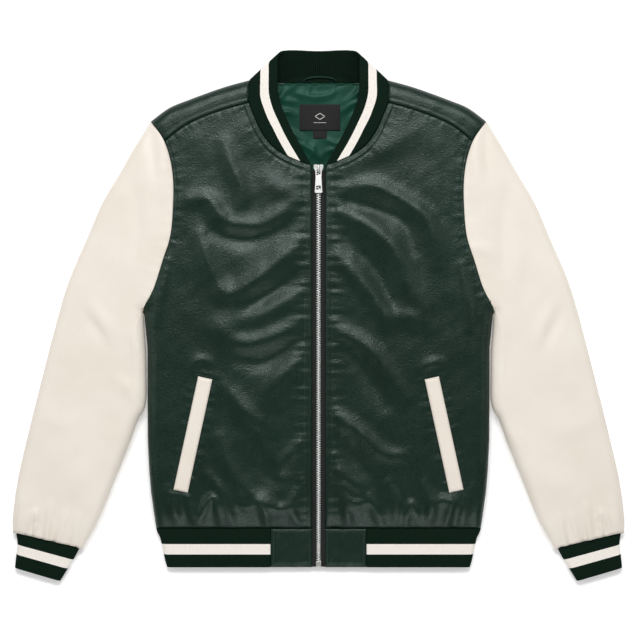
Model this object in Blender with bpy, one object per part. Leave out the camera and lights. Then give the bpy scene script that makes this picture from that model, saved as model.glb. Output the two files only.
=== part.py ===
"""Varsity jacket lying flat on its back: grained leather body, smooth leather sleeves, rib trims, metal zip.

Frame: X across the jacket, Y from hem to neck, Z up from the surface it lies on. The origin is under the
middle of the whole jacket, on that surface. Tables hold the right half in millimetres, and the left half
mirrors it; make_object turns millimetres into metres.

The jacket is two layers of cloth, joined by rounded folds. `top_z` gives the height of the upper layer and
`bottom_z` that of the lower one anywhere in plan, so pieces that share a seam also share their heights.
"""

import math

import bmesh
import bpy
import numpy as np
from mathutils import Vector
from mathutils.bvhtree import BVHTree

MM = 0.001

# Walls and gaps
LEATHER_WALL = 2.5
SLEEVE_WALL = 2.2
RIB_WALL = 3.2
LINING_WALL = 1.3
SEAM_GAP = 0.3
FOLD_SEAM_GAP = 0.5  # a seam that runs along a rounded edge
RIB_GAP = 0.9  # thick rib meets leather at an angle
BACK_NECK_GAP = 1.7
SHOULDER_TIP_GAP = 1.1  # the sleeve's outer fold leans over the armhole here

# Heights of the upper layer above the surface
BODY_HEIGHT = 29.0
FOLD_ROUNDNESS = 0.62  # plan width of a rounded edge, as a share of the local height
NECK_DIP = 3.0  # the front sinks this much at the top of the zip
NECK_DIP_RADIUS = 90.0
FOLD_STEPS = tuple(1 - math.cos(math.radians(turn)) for turn in (90, 58, 28, 6, 0))  # round a rounded edge

# Centre front and hem
PANEL_EDGE_X = 9.0  # edge of each front at the zip
HEM_SEAM_Y = -304.0
HEM_BOTTOM_Y = -360.0
ARMPIT_Y = 5.0
TAB_OUTER_X = 68.4  # leather square at the bottom of the zip
NECK_BACK_Y = 331.6  # back neck seam on the centre line

# Body rows: y, half width, height of the front layer
BODY_ROWS = (
    (-360.0, 217.0, 12.0),
    (-352.0, 219.5, 12.5),
    (-336.0, 223.0, 13.0),
    (-318.0, 227.0, 13.5),
    (-309.0, 231.5, 14.0),
    (-304.0, 232.5, 14.0),
    (-285.0, 235.0, 21.0),
    (-251.0, 239.5, 26.0),
    (-219.0, 242.0, 28.0),
    (-177.0, 244.0, 28.5),
    (-46.0, 244.2, 29.0),
    (5.0, 249.2, 29.0),
)

# Plan outlines of the right half: x, y
ARMHOLE = (
    (249.2, 5.0),
    (248.0, 12.0),
    (233.6, 38.8),
    (221.2, 77.4),
    (209.9, 113.5),
    (206.0, 158.3),
    (206.0, 192.4),
    (210.2, 222.2),
    (220.1, 250.6),
    (239.3, 276.9),
)
NECKLINE = (
    (9.0, 213.5),
    (23.7, 218.1),
    (45.3, 226.8),
    (66.7, 242.1),
    (82.2, 263.7),
    (94.4, 291.4),
    (99.0, 303.3),
)
YOKE_SEAM = (
    (99.0, 303.3),
    (131.0, 294.5),
    (165.4, 282.2),
    (192.0, 269.0),
    (218.9, 248.0),
)
SHOULDER_FOLD = (
    (98.7, 335.8),
    (138.0, 324.8),
    (188.7, 306.4),
    (214.0, 295.6),
    (239.3, 276.9),
)
SLEEVE_OUTER = (
    (239.3, 276.9),
    (260.9, 242.5),
    (285.7, 199.5),
    (308.4, 161.2),
    (331.0, 108.9),
    (351.5, 61.8),
    (365.1, 22.9),
    (384.1, -47.3),
    (396.9, -97.3),
    (413.9, -165.4),
    (429.6, -233.6),
    (437.0, -285.0),
    (437.0, -305.5),
)
SLEEVE_INNER = (
    (249.9, 5.0),
    (248.4, -22.0),
    (246.2, -50.0),
    (245.8, -85.0),
    (245.9, -118.0),
    (249.5, -135.0),
    (257.7, -149.0),
    (269.8, -182.5),
    (290.4, -233.6),
    (311.0, -284.7),
    (329.4, -318.8),
    (336.4, -329.9),
)
CUFF_OUTER = (
    (434.3, -307.2),
    (431.4, -326.0),
    (433.2, -343.5),
    (435.1, -360.7),
)
CUFF_INNER = (
    (340.7, -330.0),
    (349.0, -346.0),
    (359.5, -363.0),
    (369.9, -379.9),
)

# Sleeve stations: share of the way from armhole to cuff, height of the upper layer
SLEEVE_ROWS = (
    (0.00, 29.0),
    (0.04, 28.5),
    (0.09, 28.0),
    (0.15, 27.5),
    (0.22, 27.0),
    (0.30, 26.0),
    (0.38, 25.5),
    (0.46, 25.0),
    (0.54, 25.0),
    (0.62, 24.5),
    (0.70, 24.0),
    (0.78, 23.5),
    (0.86, 22.5),
    (0.92, 21.0),
    (0.97, 18.0),
    (1.00, 15.0),
)
CUFF_HEIGHT = 12.0
ARMHOLE_BOW = 0.35  # share of the sleeve over which the armhole's curve straightens out

# Largest soft folds of the upper layer: from x, y, to x, y, half width, rise (a trough sinks)
FOLDS = (
    (-190.0, 164.0, -127.0, 134.0, 17.0, 2.4),
    (-127.0, 134.0, -104.0, 205.0, 17.0, 2.2),
    (-137.0, 36.0, -45.0, 105.0, 18.0, 2.2),
    (-137.0, -28.0, -45.0, -5.0, 15.0, 2.2),
    (-118.0, -120.0, -45.0, -85.0, 16.0, 2.4),
    (-126.0, -180.0, -124.0, -246.0, 14.0, 2.0),
    (-150.0, 121.0, -60.0, 124.0, 14.0, -2.0),
    (-111.0, -63.0, -50.0, -63.0, 16.0, -2.0),
    (45.0, 140.0, 94.0, 79.0, 17.0, 2.6),
    (94.0, 79.0, 131.0, -35.0, 17.0, 2.6),
    (162.0, 230.0, 165.0, 40.0, 12.0, 1.8),
    (42.0, 45.0, 100.0, -98.0, 16.0, 2.2),
    (45.0, -105.0, 98.0, -205.0, 17.0, 2.4),
    (45.0, 93.0, 115.0, -49.0, 13.0, -2.0),
    (-322.0, 10.0, -298.0, -28.0, 13.0, -1.8),
    (322.0, 12.0, 306.0, -34.0, 13.0, 1.8),
)
CALM_FROM_X = 14.0  # the folds die out towards the zip between these two
CALM_TO_X = 44.0

# Rows and columns of the cloth meshes
LOWER_ROWS = (
    -304.0, -294.0, -282.0, -266.0, -247.0, -219.0, -187.0,
    -152.0, -117.0, -82.0, -46.0, -20.0, ARMPIT_Y,
)
CENTRE_ROWS = (5.0, 12.0, 24.0, 42.0, 70.0, 104.0, 140.0, 178.0, 213.5)
NECKLINE_STEPS = 6
FRONT_COLUMNS = 6
YOKE_COLUMNS = 5
BACK_COLUMNS = 8
CUFF_COLUMNS = 4
CUFF_ROWS = 4
COLLAR_COLUMNS = 3

# Collar: a flattened rib band. Its free edge, right half, at each station from the zip to the centre back
COLLAR_EDGE = (  # x, y, height
    (11.4, 216.6, 24.8),
    (22.0, 235.0, 25.0),
    (33.0, 254.5, 25.5),
    (42.5, 273.5, 26.0),
    (50.5, 292.0, 26.0),
    (55.5, 306.5, 25.5),
    (57.6, 322.0, 25.0),
    (58.2, 340.0, 23.5),
    (58.3, 358.0, 20.0),
    (59.5, 372.5, 16.5),
    (59.0, 376.6, 13.5),
    (58.0, 377.6, 11.0),
    (54.5, 378.2, 6.0),
    (49.0, 378.3, 1.7),
    (42.0, 378.0, 0.0),
    (28.0, 377.4, 0.0),
    (14.0, 376.6, 0.0),
    (0.0, 376.2, 0.0),
)

# Zip
TAPE_INNER_X = 3.6
TAPE_OUTER_X = 15.0
TAPE_THICKNESS = 1.0
TAPE_DROP = LEATHER_WALL + 0.4  # top of the tape below the outside of the panels
CHAIN_HALF_WIDTH = 3.1
CHAIN_THICKNESS = 2.9
CHAIN_DROP = 2.0
CHAIN_TOP_Y = 203.6
ZIP_BOX_HALF_WIDTH = 3.65
ZIP_BOX_LENGTH = 8.0
ZIP_BOX_THICKNESS = 3.0
ZIP_BOX_RISE = 3.4
ZIP_BOX_BOTTOM_Y = -359.3
SLIDER_HALF_WIDTH = 6.8
SLIDER_FOOT_HALF_WIDTH = 4.9
SLIDER_FLARE = 6.0
SLIDER_CORNER = 1.8
SLIDER_DROP = 0.4
SLIDER_BOTTOM_Y = 204.0
SLIDER_TOP_Y = 214.5
SLIDER_THICKNESS = 6.2
BRIDGE_HALF_WIDTH = 2.1
BRIDGE_BOTTOM_Y = 205.0
BRIDGE_TOP_Y = 213.2
BRIDGE_LEG = 1.4
BRIDGE_CLEAR = 2.8
BRIDGE_ROOF = 1.3
BRIDGE_CORNER = 0.9
BRIDGE_ROOT = 1.0  # how far the bridge's legs reach into the slider
PULL_AXIS_Y = 208.9
PULL_THICKNESS = 1.6
PULL_CORNER = 2.2
PULL_END_Y = 174.0
PULL_TOP_HALF_WIDTH = 4.6
PULL_END_HALF_WIDTH = 5.45
PULL_SLOT_HALF_WIDTH = 2.7
PULL_SLOT_LENGTH = 9.0
PULL_HOLE = (6.4, 5.7)
PULL_HOLE_FROM_END = 4.6

# Welt pockets
WELT_CENTRE = (178.2, -169.0)
WELT_SIZE = (20.8, 165.0)
WELT_TILT = math.radians(12.3)
WELT_THICKNESS = 2.2
WELT_LIFT = 0.45

# Neck: lining, label, size tab and hanger loop
LINING_ROWS = ((200.0, 66.0), (235.0, 74.0), (270.0, 78.0), (300.0, 78.0), (322.0, 76.0), (330.9, 74.0))
LINING_HEIGHT = 4.3
LABEL_CENTRE = (2.0, 283.8)
LABEL_SIZE = (58.0, 37.4)
SIZE_TAB_CENTRE = (2.2, 259.1)
SIZE_TAB_SIZE = (19.6, 11.0)
LABEL_THICKNESS = 0.8
LOOP_HALF_SPAN = 23.0
LOOP_RISE = 11.0
LOOP_FOOT_Y = 334.8
LOOP_RADIUS = 1.4

# Colours, as red, green and blue out of 255, with roughness and metallic value
GREEN_LEATHER = ((33, 51, 42), 0.42, 0.0)
CREAM_LEATHER = ((240, 232, 221), 0.45, 0.0)
RIB_GREEN = ((21, 37, 28), 0.9, 0.0)
LINING_GREEN = ((50, 79, 69), 0.4, 0.0)
TAPE_BLACK = ((22, 26, 24), 0.8, 0.0)
ZIP_METAL = ((205, 206, 204), 0.25, 1.0)
LABEL_BLACK = ((30, 30, 31), 0.75, 0.0)


def clear_scene():
    for item in list(bpy.data.objects):
        bpy.data.objects.remove(item, do_unlink=True)


def linear(level):
    share = level / 255
    return share / 12.92 if share <= 0.04045 else ((share + 0.055) / 1.055) ** 2.4


def material(name, look):
    colour, roughness, metallic = look
    made = bpy.data.materials.get(name) or bpy.data.materials.new(name)
    made.use_nodes = True
    shader = made.node_tree.nodes["Principled BSDF"]
    shader.inputs["Base Color"].default_value = (*[linear(level) for level in colour], 1.0)
    shader.inputs["Roughness"].default_value = roughness
    shader.inputs["Metallic"].default_value = metallic
    return made


# ---------------------------------------------------------------- plan geometry


def smooth_path(points, steps=12):
    """A dense Catmull-Rom line through the points of an outline."""
    knots = np.array([points[0], *points, points[-1]], float)
    line = []
    for a, b, c, d in zip(knots, knots[1:], knots[2:], knots[3:]):
        for step in range(steps):
            t = step / steps
            line.append(0.5 * (2 * b + (c - a) * t + (2 * a - 5 * b + 4 * c - d) * t**2
                               + (3 * b - a - 3 * c + d) * t**3))
    return np.array([*line, knots[-1]])


def lengths_along(line):
    return np.concatenate([[0], np.cumsum(np.linalg.norm(np.diff(line, axis=0), axis=1))])


def at_lengths(line, lengths):
    """Points of a line at these distances from its start."""
    along = lengths_along(line)
    axes = range(line.shape[1])
    return [tuple(np.interp(length, along, line[:, axis]) for axis in axes) for length in lengths]


def at_shares(line, shares):
    return at_lengths(line, [share * lengths_along(line)[-1] for share in shares])


ARMHOLE_LINE = smooth_path(ARMHOLE)
NECK_LINE = smooth_path(NECKLINE)
YOKE_LINE = np.array(at_shares(smooth_path(YOKE_SEAM), np.linspace(0, 1, YOKE_COLUMNS + 1)))
SHOULDER_LINE = smooth_path(SHOULDER_FOLD)
OUTER_LINE = smooth_path(SLEEVE_OUTER)
INNER_LINE = smooth_path(SLEEVE_INNER)
CUFF_OUTER_LINE = smooth_path(CUFF_OUTER)
CUFF_INNER_LINE = smooth_path(CUFF_INNER)
SIDE_LINE = np.array([(half_width, y) for y, half_width, _ in BODY_ROWS])
EDGE_LINES = (SIDE_LINE, SHOULDER_LINE, OUTER_LINE, INNER_LINE, CUFF_OUTER_LINE, CUFF_INNER_LINE)
EDGE_STARTS = np.concatenate([line[:-1] for line in EDGE_LINES])
EDGE_RUNS = np.concatenate([np.diff(line, axis=0) for line in EDGE_LINES])


def half_width(y):
    return float(np.interp(y, [row[0] for row in BODY_ROWS], [row[1] for row in BODY_ROWS]))


def body_height(y):
    return float(np.interp(y, [row[0] for row in BODY_ROWS], [row[2] for row in BODY_ROWS]))


def sleeve_height(share):
    return float(np.interp(share, [row[0] for row in SLEEVE_ROWS], [row[1] for row in SLEEVE_ROWS]))


def edge_distance(x, y):
    """Distance in plan from the nearest rounded edge of the jacket."""
    offset = np.array((abs(x), y)) - EDGE_STARTS
    share = np.clip((offset * EDGE_RUNS).sum(axis=1) / (EDGE_RUNS**2).sum(axis=1), 0, 1)
    return float(np.linalg.norm(offset - share[:, None] * EDGE_RUNS, axis=1).min())


def roundness(x, y, height):
    """0 on a rounded edge, rising along a quarter ellipse to 1 inside it."""
    inside = min(edge_distance(x, y) / (FOLD_ROUNDNESS * height), 1.0)
    return math.sqrt(1 - (1 - inside) ** 2)


def drape(x, y):
    """How far the largest folds lift or sink the upper layer."""
    calm = min(max((abs(x) - CALM_FROM_X) / (CALM_TO_X - CALM_FROM_X), 0), 1)
    total = 0.0
    for x0, y0, x1, y1, width, rise in FOLDS:
        run = (x1 - x0, y1 - y0)
        share = ((x - x0) * run[0] + (y - y0) * run[1]) / (run[0] ** 2 + run[1] ** 2)
        share = min(max(share, 0), 1)
        away = math.hypot(x - x0 - share * run[0], y - y0 - share * run[1])
        total += rise * math.exp(-((away / width) ** 2))
    dip = NECK_DIP * math.exp(-(x**2 + (y - SLIDER_TOP_Y) ** 2) / NECK_DIP_RADIUS**2)
    return total * calm * calm * (3 - 2 * calm) - dip


def top_z(x, y, height):
    seam = (height + FOLD_SEAM_GAP) / 2
    return seam + (height + drape(x, y) - seam) * roundness(x, y, height)


def bottom_z(x, y, height):
    return (height - FOLD_SEAM_GAP) / 2 * (1 - roundness(x, y, height))


def coons(bottom, top, inner, outer):
    """Plan points of a patch between four outlines that meet at their corners."""
    rows = []
    for i, (start, end) in enumerate(zip(inner, outer)):
        v = i / (len(inner) - 1)
        row = []
        for j, (low, high) in enumerate(zip(bottom, top)):
            u = j / (len(bottom) - 1)
            row.append(tuple(
                (1 - v) * low[k] + v * high[k] + (1 - u) * start[k] + u * end[k]
                - (1 - u) * ((1 - v) * bottom[0][k] + v * top[0][k])
                - u * ((1 - v) * bottom[-1][k] + v * top[-1][k])
                for k in (0, 1)
            ))
        rows.append(row)
    return rows


def across(start, end, height, columns):
    """Plan points from an inner edge to a rounded outer edge, closer together round the edge."""
    width = math.dist(start, end)
    fold = FOLD_ROUNDNESS * height
    shares = [(width - fold) / width * j / columns for j in range(columns)]
    shares += [1 - fold * step / width for step in FOLD_STEPS]
    return [tuple(a + (b - a) * share for a, b in zip(start, end)) for share in shares]


def armhole_lengths():
    """Distances along the armhole of the points body and sleeve share, and how many lie below the yoke."""
    whole = lengths_along(ARMHOLE_LINE)[-1]
    yoke = float(np.interp(YOKE_SEAM[-1][1], ARMHOLE_LINE[:, 1], lengths_along(ARMHOLE_LINE)))
    fold = FOLD_ROUNDNESS * BODY_HEIGHT
    low = [fold * step for step in reversed(FOLD_STEPS)]
    spread = len(CENTRE_ROWS) + NECKLINE_STEPS - len(low)
    middle = [fold + (yoke - fold) * (k + 1) / spread for k in range(spread)]
    high = [whole - fold * step for step in FOLD_STEPS]
    return low + middle + high, len(low) + len(middle)


ARMHOLE_LENGTHS, YOKE_COUNT = armhole_lengths()
ARMHOLE_POINTS = at_lengths(ARMHOLE_LINE, ARMHOLE_LENGTHS)


def moved_aside(points, distance):
    """A line moved to its right as it runs, by one distance or one for each point."""
    line = np.array(points, float)
    run = np.gradient(line, axis=0)
    run /= np.linalg.norm(run, axis=1)[:, None]
    aside = np.column_stack([run[:, 1], -run[:, 0]])
    return [tuple(point) for point in line + np.reshape(distance, (-1, 1)) * aside]


# ---------------------------------------------------------------- meshes


def add_grid(mesh, rows, closed, reverse):
    """Adds quads between rows of points. Reversed, their fronts face the other way."""
    verts = [[mesh.verts.new([value * MM for value in point]) for point in row] for row in rows]
    for low, high in zip(verts, verts[1:]):
        pairs = list(zip(range(len(low)), range(1, len(low))))
        if closed:
            pairs.append((len(low) - 1, 0))
        for a, b in pairs:
            corners = (low[a], low[b], high[b], high[a])
            mesh.faces.new(corners[::-1] if reverse else corners)


def make_object(name, mesh, look, look_name):
    data = bpy.data.meshes.new(name)
    mesh.to_mesh(data)
    mesh.free()
    data.shade_smooth()
    data.set_sharp_from_angle(angle=math.radians(50))
    made = bpy.data.objects.new(name, data)
    bpy.context.scene.collection.objects.link(made)
    data.materials.append(material(look_name, look))
    return made


def make_sheet(name, patches, wall, look, look_name):
    """A sheet of cloth: grids of its outer side, joined where they meet, given a wall inwards."""
    mesh = bmesh.new()
    for rows, closed, reverse in patches:
        add_grid(mesh, rows, closed, reverse)
    bmesh.ops.remove_doubles(mesh, verts=mesh.verts, dist=1e-6)
    made = make_object(name, mesh, look, look_name)
    solidify = made.modifiers.new("Wall", "SOLIDIFY")
    solidify.thickness = wall * MM
    solidify.offset = -1
    return made


def mirrored(rows, side):
    return [[(side * x, y, z) for x, y, z in row] for row in rows]


def raised(plan, side, heights):
    """Plan rows of the right half as points of the upper layer on the named side."""
    return [
        [(side * x, y, top_z(side * x, y, height)) for x, y in row] for row, height in zip(plan, heights)
    ]


def lowered(plan, side, heights):
    return [
        [(side * x, y, bottom_z(side * x, y, height)) for x, y in row] for row, height in zip(plan, heights)
    ]


# ---------------------------------------------------------------- body


def front_plan():
    """Plan rows of a front, hem seam to yoke seam, and the height of each."""
    rows = [across((PANEL_EDGE_X, y), (half_width(y), y), body_height(y), FRONT_COLUMNS) for y in LOWER_ROWS]
    outer = ARMHOLE_POINTS[:YOKE_COUNT]
    neck = at_shares(NECK_LINE, [k / NECKLINE_STEPS for k in range(1, NECKLINE_STEPS + 1)])
    inner = [(PANEL_EDGE_X, y) for y in CENTRE_ROWS] + neck
    top = at_shares(YOKE_LINE, np.linspace(0, 1, len(rows[0])))
    top[-1] = outer[-1]
    rows += coons(rows[-1], top, inner, outer)[1:]
    heights = [body_height(y) for y in LOWER_ROWS] + [BODY_HEIGHT] * (len(outer) - 1)
    return rows, heights


def make_front(name, side):
    plan, heights = front_plan()
    rows = raised(plan, side, heights)
    rows[0] = [(x, y + SEAM_GAP / 2, z) for x, y, z in rows[0]]
    return make_sheet(name, [(rows, False, side < 0)], LEATHER_WALL, GREEN_LEATHER, "green_leather")


def back_plan():
    """Plan rows of the back's right half, and its outline along the neck and the shoulder fold."""
    rows = [across((0.0, y), (half_width(y), y), body_height(y), BACK_COLUMNS) for y in LOWER_ROWS]
    fold = FOLD_ROUNDNESS * BODY_HEIGHT
    neck_x = SHOULDER_FOLD[0][0]
    neck = [0.0, 28.5, 57.0] + [neck_x - fold * step for step in FOLD_STEPS]
    top = [(x, NECK_BACK_Y + (SHOULDER_FOLD[0][1] - NECK_BACK_Y) * (x / neck_x) ** 2) for x in neck]
    top += at_shares(SHOULDER_LINE, [(k + 1) / YOKE_COLUMNS for k in range(YOKE_COLUMNS)])
    outer = ARMHOLE_POINTS
    spread = len(outer) - 2 * len(FOLD_STEPS)
    centre = [ARMPIT_Y + fold * step for step in reversed(FOLD_STEPS)]
    last = NECK_BACK_Y - fold
    first = centre[-1]
    centre += [first + (last - first) * (k + 1) / (spread + 1) for k in range(spread)]
    centre += [NECK_BACK_Y - fold * step for step in FOLD_STEPS]
    rows += coons(rows[-1], top, [(0.0, y) for y in centre], outer)[1:]
    heights = [body_height(y) for y in LOWER_ROWS] + [BODY_HEIGHT] * (len(outer) - 1)
    return rows, heights, len(neck) - 1


def yoke_plan(fold_points):
    """Plan rows of the part of the back that wraps over the shoulder, from the fold to the yoke seam."""
    seam = [(x, y + SEAM_GAP) for x, y in YOKE_LINE]
    side = ARMHOLE_POINTS[YOKE_COUNT - 1:][::-1]
    neck_x, neck_y = fold_points[0]
    neck = [(neck_x, neck_y - FOLD_ROUNDNESS * BODY_HEIGHT * step) for step in reversed(FOLD_STEPS)]
    neck.append(seam[0])
    side[-1] = seam[-1]
    return coons(fold_points, seam, neck, side)


def make_back():
    plan, heights, neck_corner = back_plan()
    patches = []
    for side in (1, -1):
        rows = lowered(plan, side, heights)
        rows[0] = [(x, y + SEAM_GAP / 2, z) for x, y, z in rows[0]]
        patches.append((rows, False, side > 0))
        wrap_plan = yoke_plan(plan[-1][neck_corner:])
        wrap = raised(wrap_plan, side, [BODY_HEIGHT] * len(wrap_plan))
        wrap[0] = rows[-1][neck_corner:]
        patches.append((wrap, False, side > 0))
    return make_sheet("back", patches, LEATHER_WALL, GREEN_LEATHER, "green_leather")


# ---------------------------------------------------------------- sleeves and cuffs


def ring(top, side, height):
    """A closed ring: the upper layer from the inner edge to the outer one, then the lower layer back."""
    upper = [(side * x, y, top_z(side * x, y, height)) for x, y in top]
    lower = [(side * x, y, bottom_z(side * x, y, height)) for x, y in top[-2:0:-1]]
    return upper + lower


def sleeve_ring_plan(share, height):
    """Plan points of the upper layer across the sleeve, from its inner to its outer edge."""
    tip = len(FOLD_STEPS)
    gaps = [SEAM_GAP] * (len(ARMHOLE_POINTS) - tip) + [SHOULDER_TIP_GAP] * tip
    seam = moved_aside(ARMHOLE_POINTS, gaps)
    if share == 0:
        return seam
    fold = FOLD_ROUNDNESS * height
    inner = edge_spot(INNER_LINE, share)
    outer = edge_spot(OUTER_LINE, share)
    low = [tuple(p - n * fold * step for p, n in zip(*inner)) for step in reversed(FOLD_STEPS)]
    high = [tuple(p + n * fold * step for p, n in zip(*outer)) for step in FOLD_STEPS]
    bow = max(1 - share / ARMHOLE_BOW, 0) ** 2
    whole = ARMHOLE_LENGTHS[-1]
    middle = []
    for length, spot in list(zip(ARMHOLE_LENGTHS, seam))[len(low):-len(high)]:
        chord = [a + (b - a) * length / whole for a, b in zip(seam[0], seam[-1])]
        middle.append(tuple(
            a + (b - a) * length / whole + bow * (on_seam - on_chord)
            for a, b, on_seam, on_chord in zip(low[-1], high[0], spot, chord)
        ))
    return low + middle + high


def edge_spot(line, share):
    """A point part way along an edge line, and the direction to its right."""
    length = lengths_along(line)[-1] * share
    before, spot, after = (np.array(at) for at in at_lengths(line, [length - 2, length, length + 2]))
    run = (after - before) / np.linalg.norm(after - before)
    return tuple(spot), (run[1], -run[0])


def make_sleeve(name, side):
    """An upper and an under sleeve, sewn together along the inner and the outer edge."""
    plan = [sleeve_ring_plan(share, height) for share, height in SLEEVE_ROWS]
    heights = [height for _, height in SLEEVE_ROWS]
    layers = (("upper", raised, side > 0), ("under", lowered, side < 0))
    for layer, placed, reverse in layers:
        grid = (placed(plan, side, heights), False, reverse)
        make_sheet(f"sleeve_{layer}_{name}", [grid], SLEEVE_WALL, CREAM_LEATHER, "cream_leather")


def make_cuff(name, side):
    rows = []
    for share in np.linspace(0, 1, CUFF_ROWS):
        start = at_shares(CUFF_INNER_LINE, [share])[0]
        end = at_shares(CUFF_OUTER_LINE, [share])[0]
        middle = tuple((a + b) / 2 for a, b in zip(start, end))
        half = across(middle, end, CUFF_HEIGHT, CUFF_COLUMNS)
        other = across(middle, start, CUFF_HEIGHT, CUFF_COLUMNS)
        rows.append(ring(other[:0:-1] + half, side, CUFF_HEIGHT))
    return make_sheet(name, [(rows, True, side > 0)], RIB_WALL, RIB_GREEN, "rib_green")


# ---------------------------------------------------------------- hem


def hem_rows():
    return [row for row in BODY_ROWS if row[0] <= HEM_SEAM_Y]


def make_hem_rib():
    rows = []
    for y, width, height in hem_rows():
        edge = y - RIB_GAP if y == HEM_SEAM_Y else y
        front = across((TAB_OUTER_X + SEAM_GAP, edge), (width, edge), height, FRONT_COLUMNS)
        back = across((0.0, edge), (width, edge), height, BACK_COLUMNS)
        row = []
        for side in (1, -1):
            half = [(side * x, y, top_z(side * x, y, height)) for x, y in front]
            half += [(side * x, y, bottom_z(side * x, y, height)) for x, y in back[-2:0:-1]]
            row += half if side > 0 else [(0.0, edge, 0.0)] + half[::-1]
        rows.append(row)
    return make_sheet("hem_rib", [(rows, False, False)], RIB_WALL, RIB_GREEN, "rib_green")


def make_hem_tab(name, side):
    rows = []
    for y, _, height in hem_rows():
        edge = y - SEAM_GAP / 2 if y == HEM_SEAM_Y else y
        xs = np.linspace(PANEL_EDGE_X + 0.4, TAB_OUTER_X, 4)
        rows.append([(side * x, edge, top_z(side * x, edge, height)) for x in xs])
    return make_sheet(name, [(rows, False, side < 0)], LEATHER_WALL, GREEN_LEATHER, "green_leather")


# ---------------------------------------------------------------- collar and neck


def neck_seam():
    """The collar's sewn edge beside the neck seam, right half, from the zip to the centre back."""
    fold = FOLD_ROUNDNESS * BODY_HEIGHT
    neck_x, neck_y = SHOULDER_FOLD[0]
    front = at_shares(NECK_LINE, [0.03] + [k / NECKLINE_STEPS for k in range(1, NECKLINE_STEPS + 1)])
    front = moved_aside(front, -RIB_GAP)
    side = [(neck_x - RIB_GAP, neck_y - fold * step) for step in FOLD_STEPS[1:-1]]
    points = [(x, y, top_z(x, y, BODY_HEIGHT)) for x, y in front[:-1] + [(side[0][0], front[-1][1])] + side]
    points.append((neck_x - SEAM_GAP, neck_y + RIB_GAP, BODY_HEIGHT / 2))
    for x in [neck_x - fold * step for step in FOLD_STEPS[-2::-1]] + [57.0, 28.5, 0.0]:
        y = NECK_BACK_Y + (neck_y - NECK_BACK_Y) * (x / neck_x) ** 2
        points.append((x, y + BACK_NECK_GAP, bottom_z(x, y, BODY_HEIGHT)))
    return points


def make_collar():
    shares = np.linspace(0, 1, COLLAR_COLUMNS + 1)
    half = []
    for seam, edge in zip(neck_seam(), COLLAR_EDGE, strict=True):
        half.append([tuple(s + (e - s) * share for s, e in zip(seam, edge)) for share in shares])
    rows = half + mirrored(half[-2::-1], -1)
    return make_sheet("collar", [(rows, False, True)], RIB_WALL, RIB_GREEN, "rib_green")


def make_neck_lining():
    rows = [[(x, y, LINING_HEIGHT) for x in np.linspace(-width, width, 7)] for y, width in LINING_ROWS]
    return make_sheet("neck_lining", [(rows, False, False)], LINING_WALL, LINING_GREEN, "lining_green")


def make_flat_patch(name, centre, size, base, thickness):
    """A flat rectangle of cloth with its underside at the given height."""
    xs = (centre[0] - size[0] / 2, centre[0] + size[0] / 2)
    ys = (centre[1] - size[1] / 2, centre[1] + size[1] / 2)
    rows = [[(x, y, base + thickness) for x in xs] for y in ys]
    return make_sheet(name, [(rows, False, False)], thickness, LABEL_BLACK, "label_black")


def make_hanger_loop():
    """A cord sewn into the neck seam at both ends, lying up over the back of the collar."""
    curve = bpy.data.curves.new("hanger_loop", "CURVE")
    curve.dimensions = "3D"
    curve.bevel_depth = LOOP_RADIUS * MM
    curve.bevel_resolution = 2
    curve.use_fill_caps = True
    spline = curve.splines.new("POLY")
    steps = 14
    spline.points.add(steps)
    height = RIB_WALL + 0.4 + LOOP_RADIUS
    for k in range(steps + 1):
        angle = math.pi * k / steps
        x = LABEL_CENTRE[0] - LOOP_HALF_SPAN * math.cos(angle)
        y = LOOP_FOOT_Y + LOOP_RISE * math.sin(angle) ** 0.7
        spline.points[k].co = (x * MM, y * MM, height * MM, 1)
    made = bpy.data.objects.new("hanger_loop", curve)
    bpy.context.scene.collection.objects.link(made)
    curve.materials.append(material("lining_green", LINING_GREEN))
    return made


# ---------------------------------------------------------------- pockets


def on_panel(panel):
    """Gives the height of a panel's outer side anywhere in plan, from its own facets."""
    data = panel.data
    tree = BVHTree.FromPolygons([v.co for v in data.vertices], [tuple(p.vertices) for p in data.polygons])

    def height(x, y):
        hit = tree.ray_cast(Vector((x * MM, y * MM, 1.0)), Vector((0, 0, -1)))[0]
        return hit.z / MM

    return height


def make_welt(name, side, panel):
    """The leather lip of a slanted pocket, lying on its front panel."""
    height = on_panel(panel)
    lean = Vector((-math.sin(WELT_TILT), math.cos(WELT_TILT)))
    across_lean = Vector((math.cos(WELT_TILT), math.sin(WELT_TILT)))
    rows = []
    for step in np.linspace(-0.5, 0.5, 22):
        row = []
        for column in np.linspace(-0.5, 0.5, 4):
            spot = Vector(WELT_CENTRE) + lean * (step * WELT_SIZE[1]) + across_lean * (column * WELT_SIZE[0])
            x = side * spot.x
            row.append((x, spot.y, height(x, spot.y) + WELT_LIFT + WELT_THICKNESS))
        rows.append(row)
    return make_sheet(name, [(rows, False, side < 0)], WELT_THICKNESS, CREAM_LEATHER, "cream_leather")


# ---------------------------------------------------------------- zip


def zip_line(lowest, highest):
    """Height of the panels' outer side along the zip, at the rows of the panels."""
    rows = [row[0] for row in hem_rows()] + list(LOWER_ROWS[1:]) + list(CENTRE_ROWS[1:])
    heights = [top_z(PANEL_EDGE_X, y, body_height(min(y, ARMPIT_Y))) for y in rows]
    stations = [lowest, *(y for y in rows if lowest < y < highest), highest]
    return [(y, float(np.interp(y, rows, heights))) for y in stations]


def make_zip_tape(name, side):
    line = zip_line(HEM_BOTTOM_Y + 0.5, CHAIN_TOP_Y)
    rows = [[(side * x, y, z - TAPE_DROP) for x in (TAPE_INNER_X, TAPE_OUTER_X)] for y, z in line]
    return make_sheet(name, [(rows, False, side < 0)], TAPE_THICKNESS, TAPE_BLACK, "tape_black")


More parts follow.
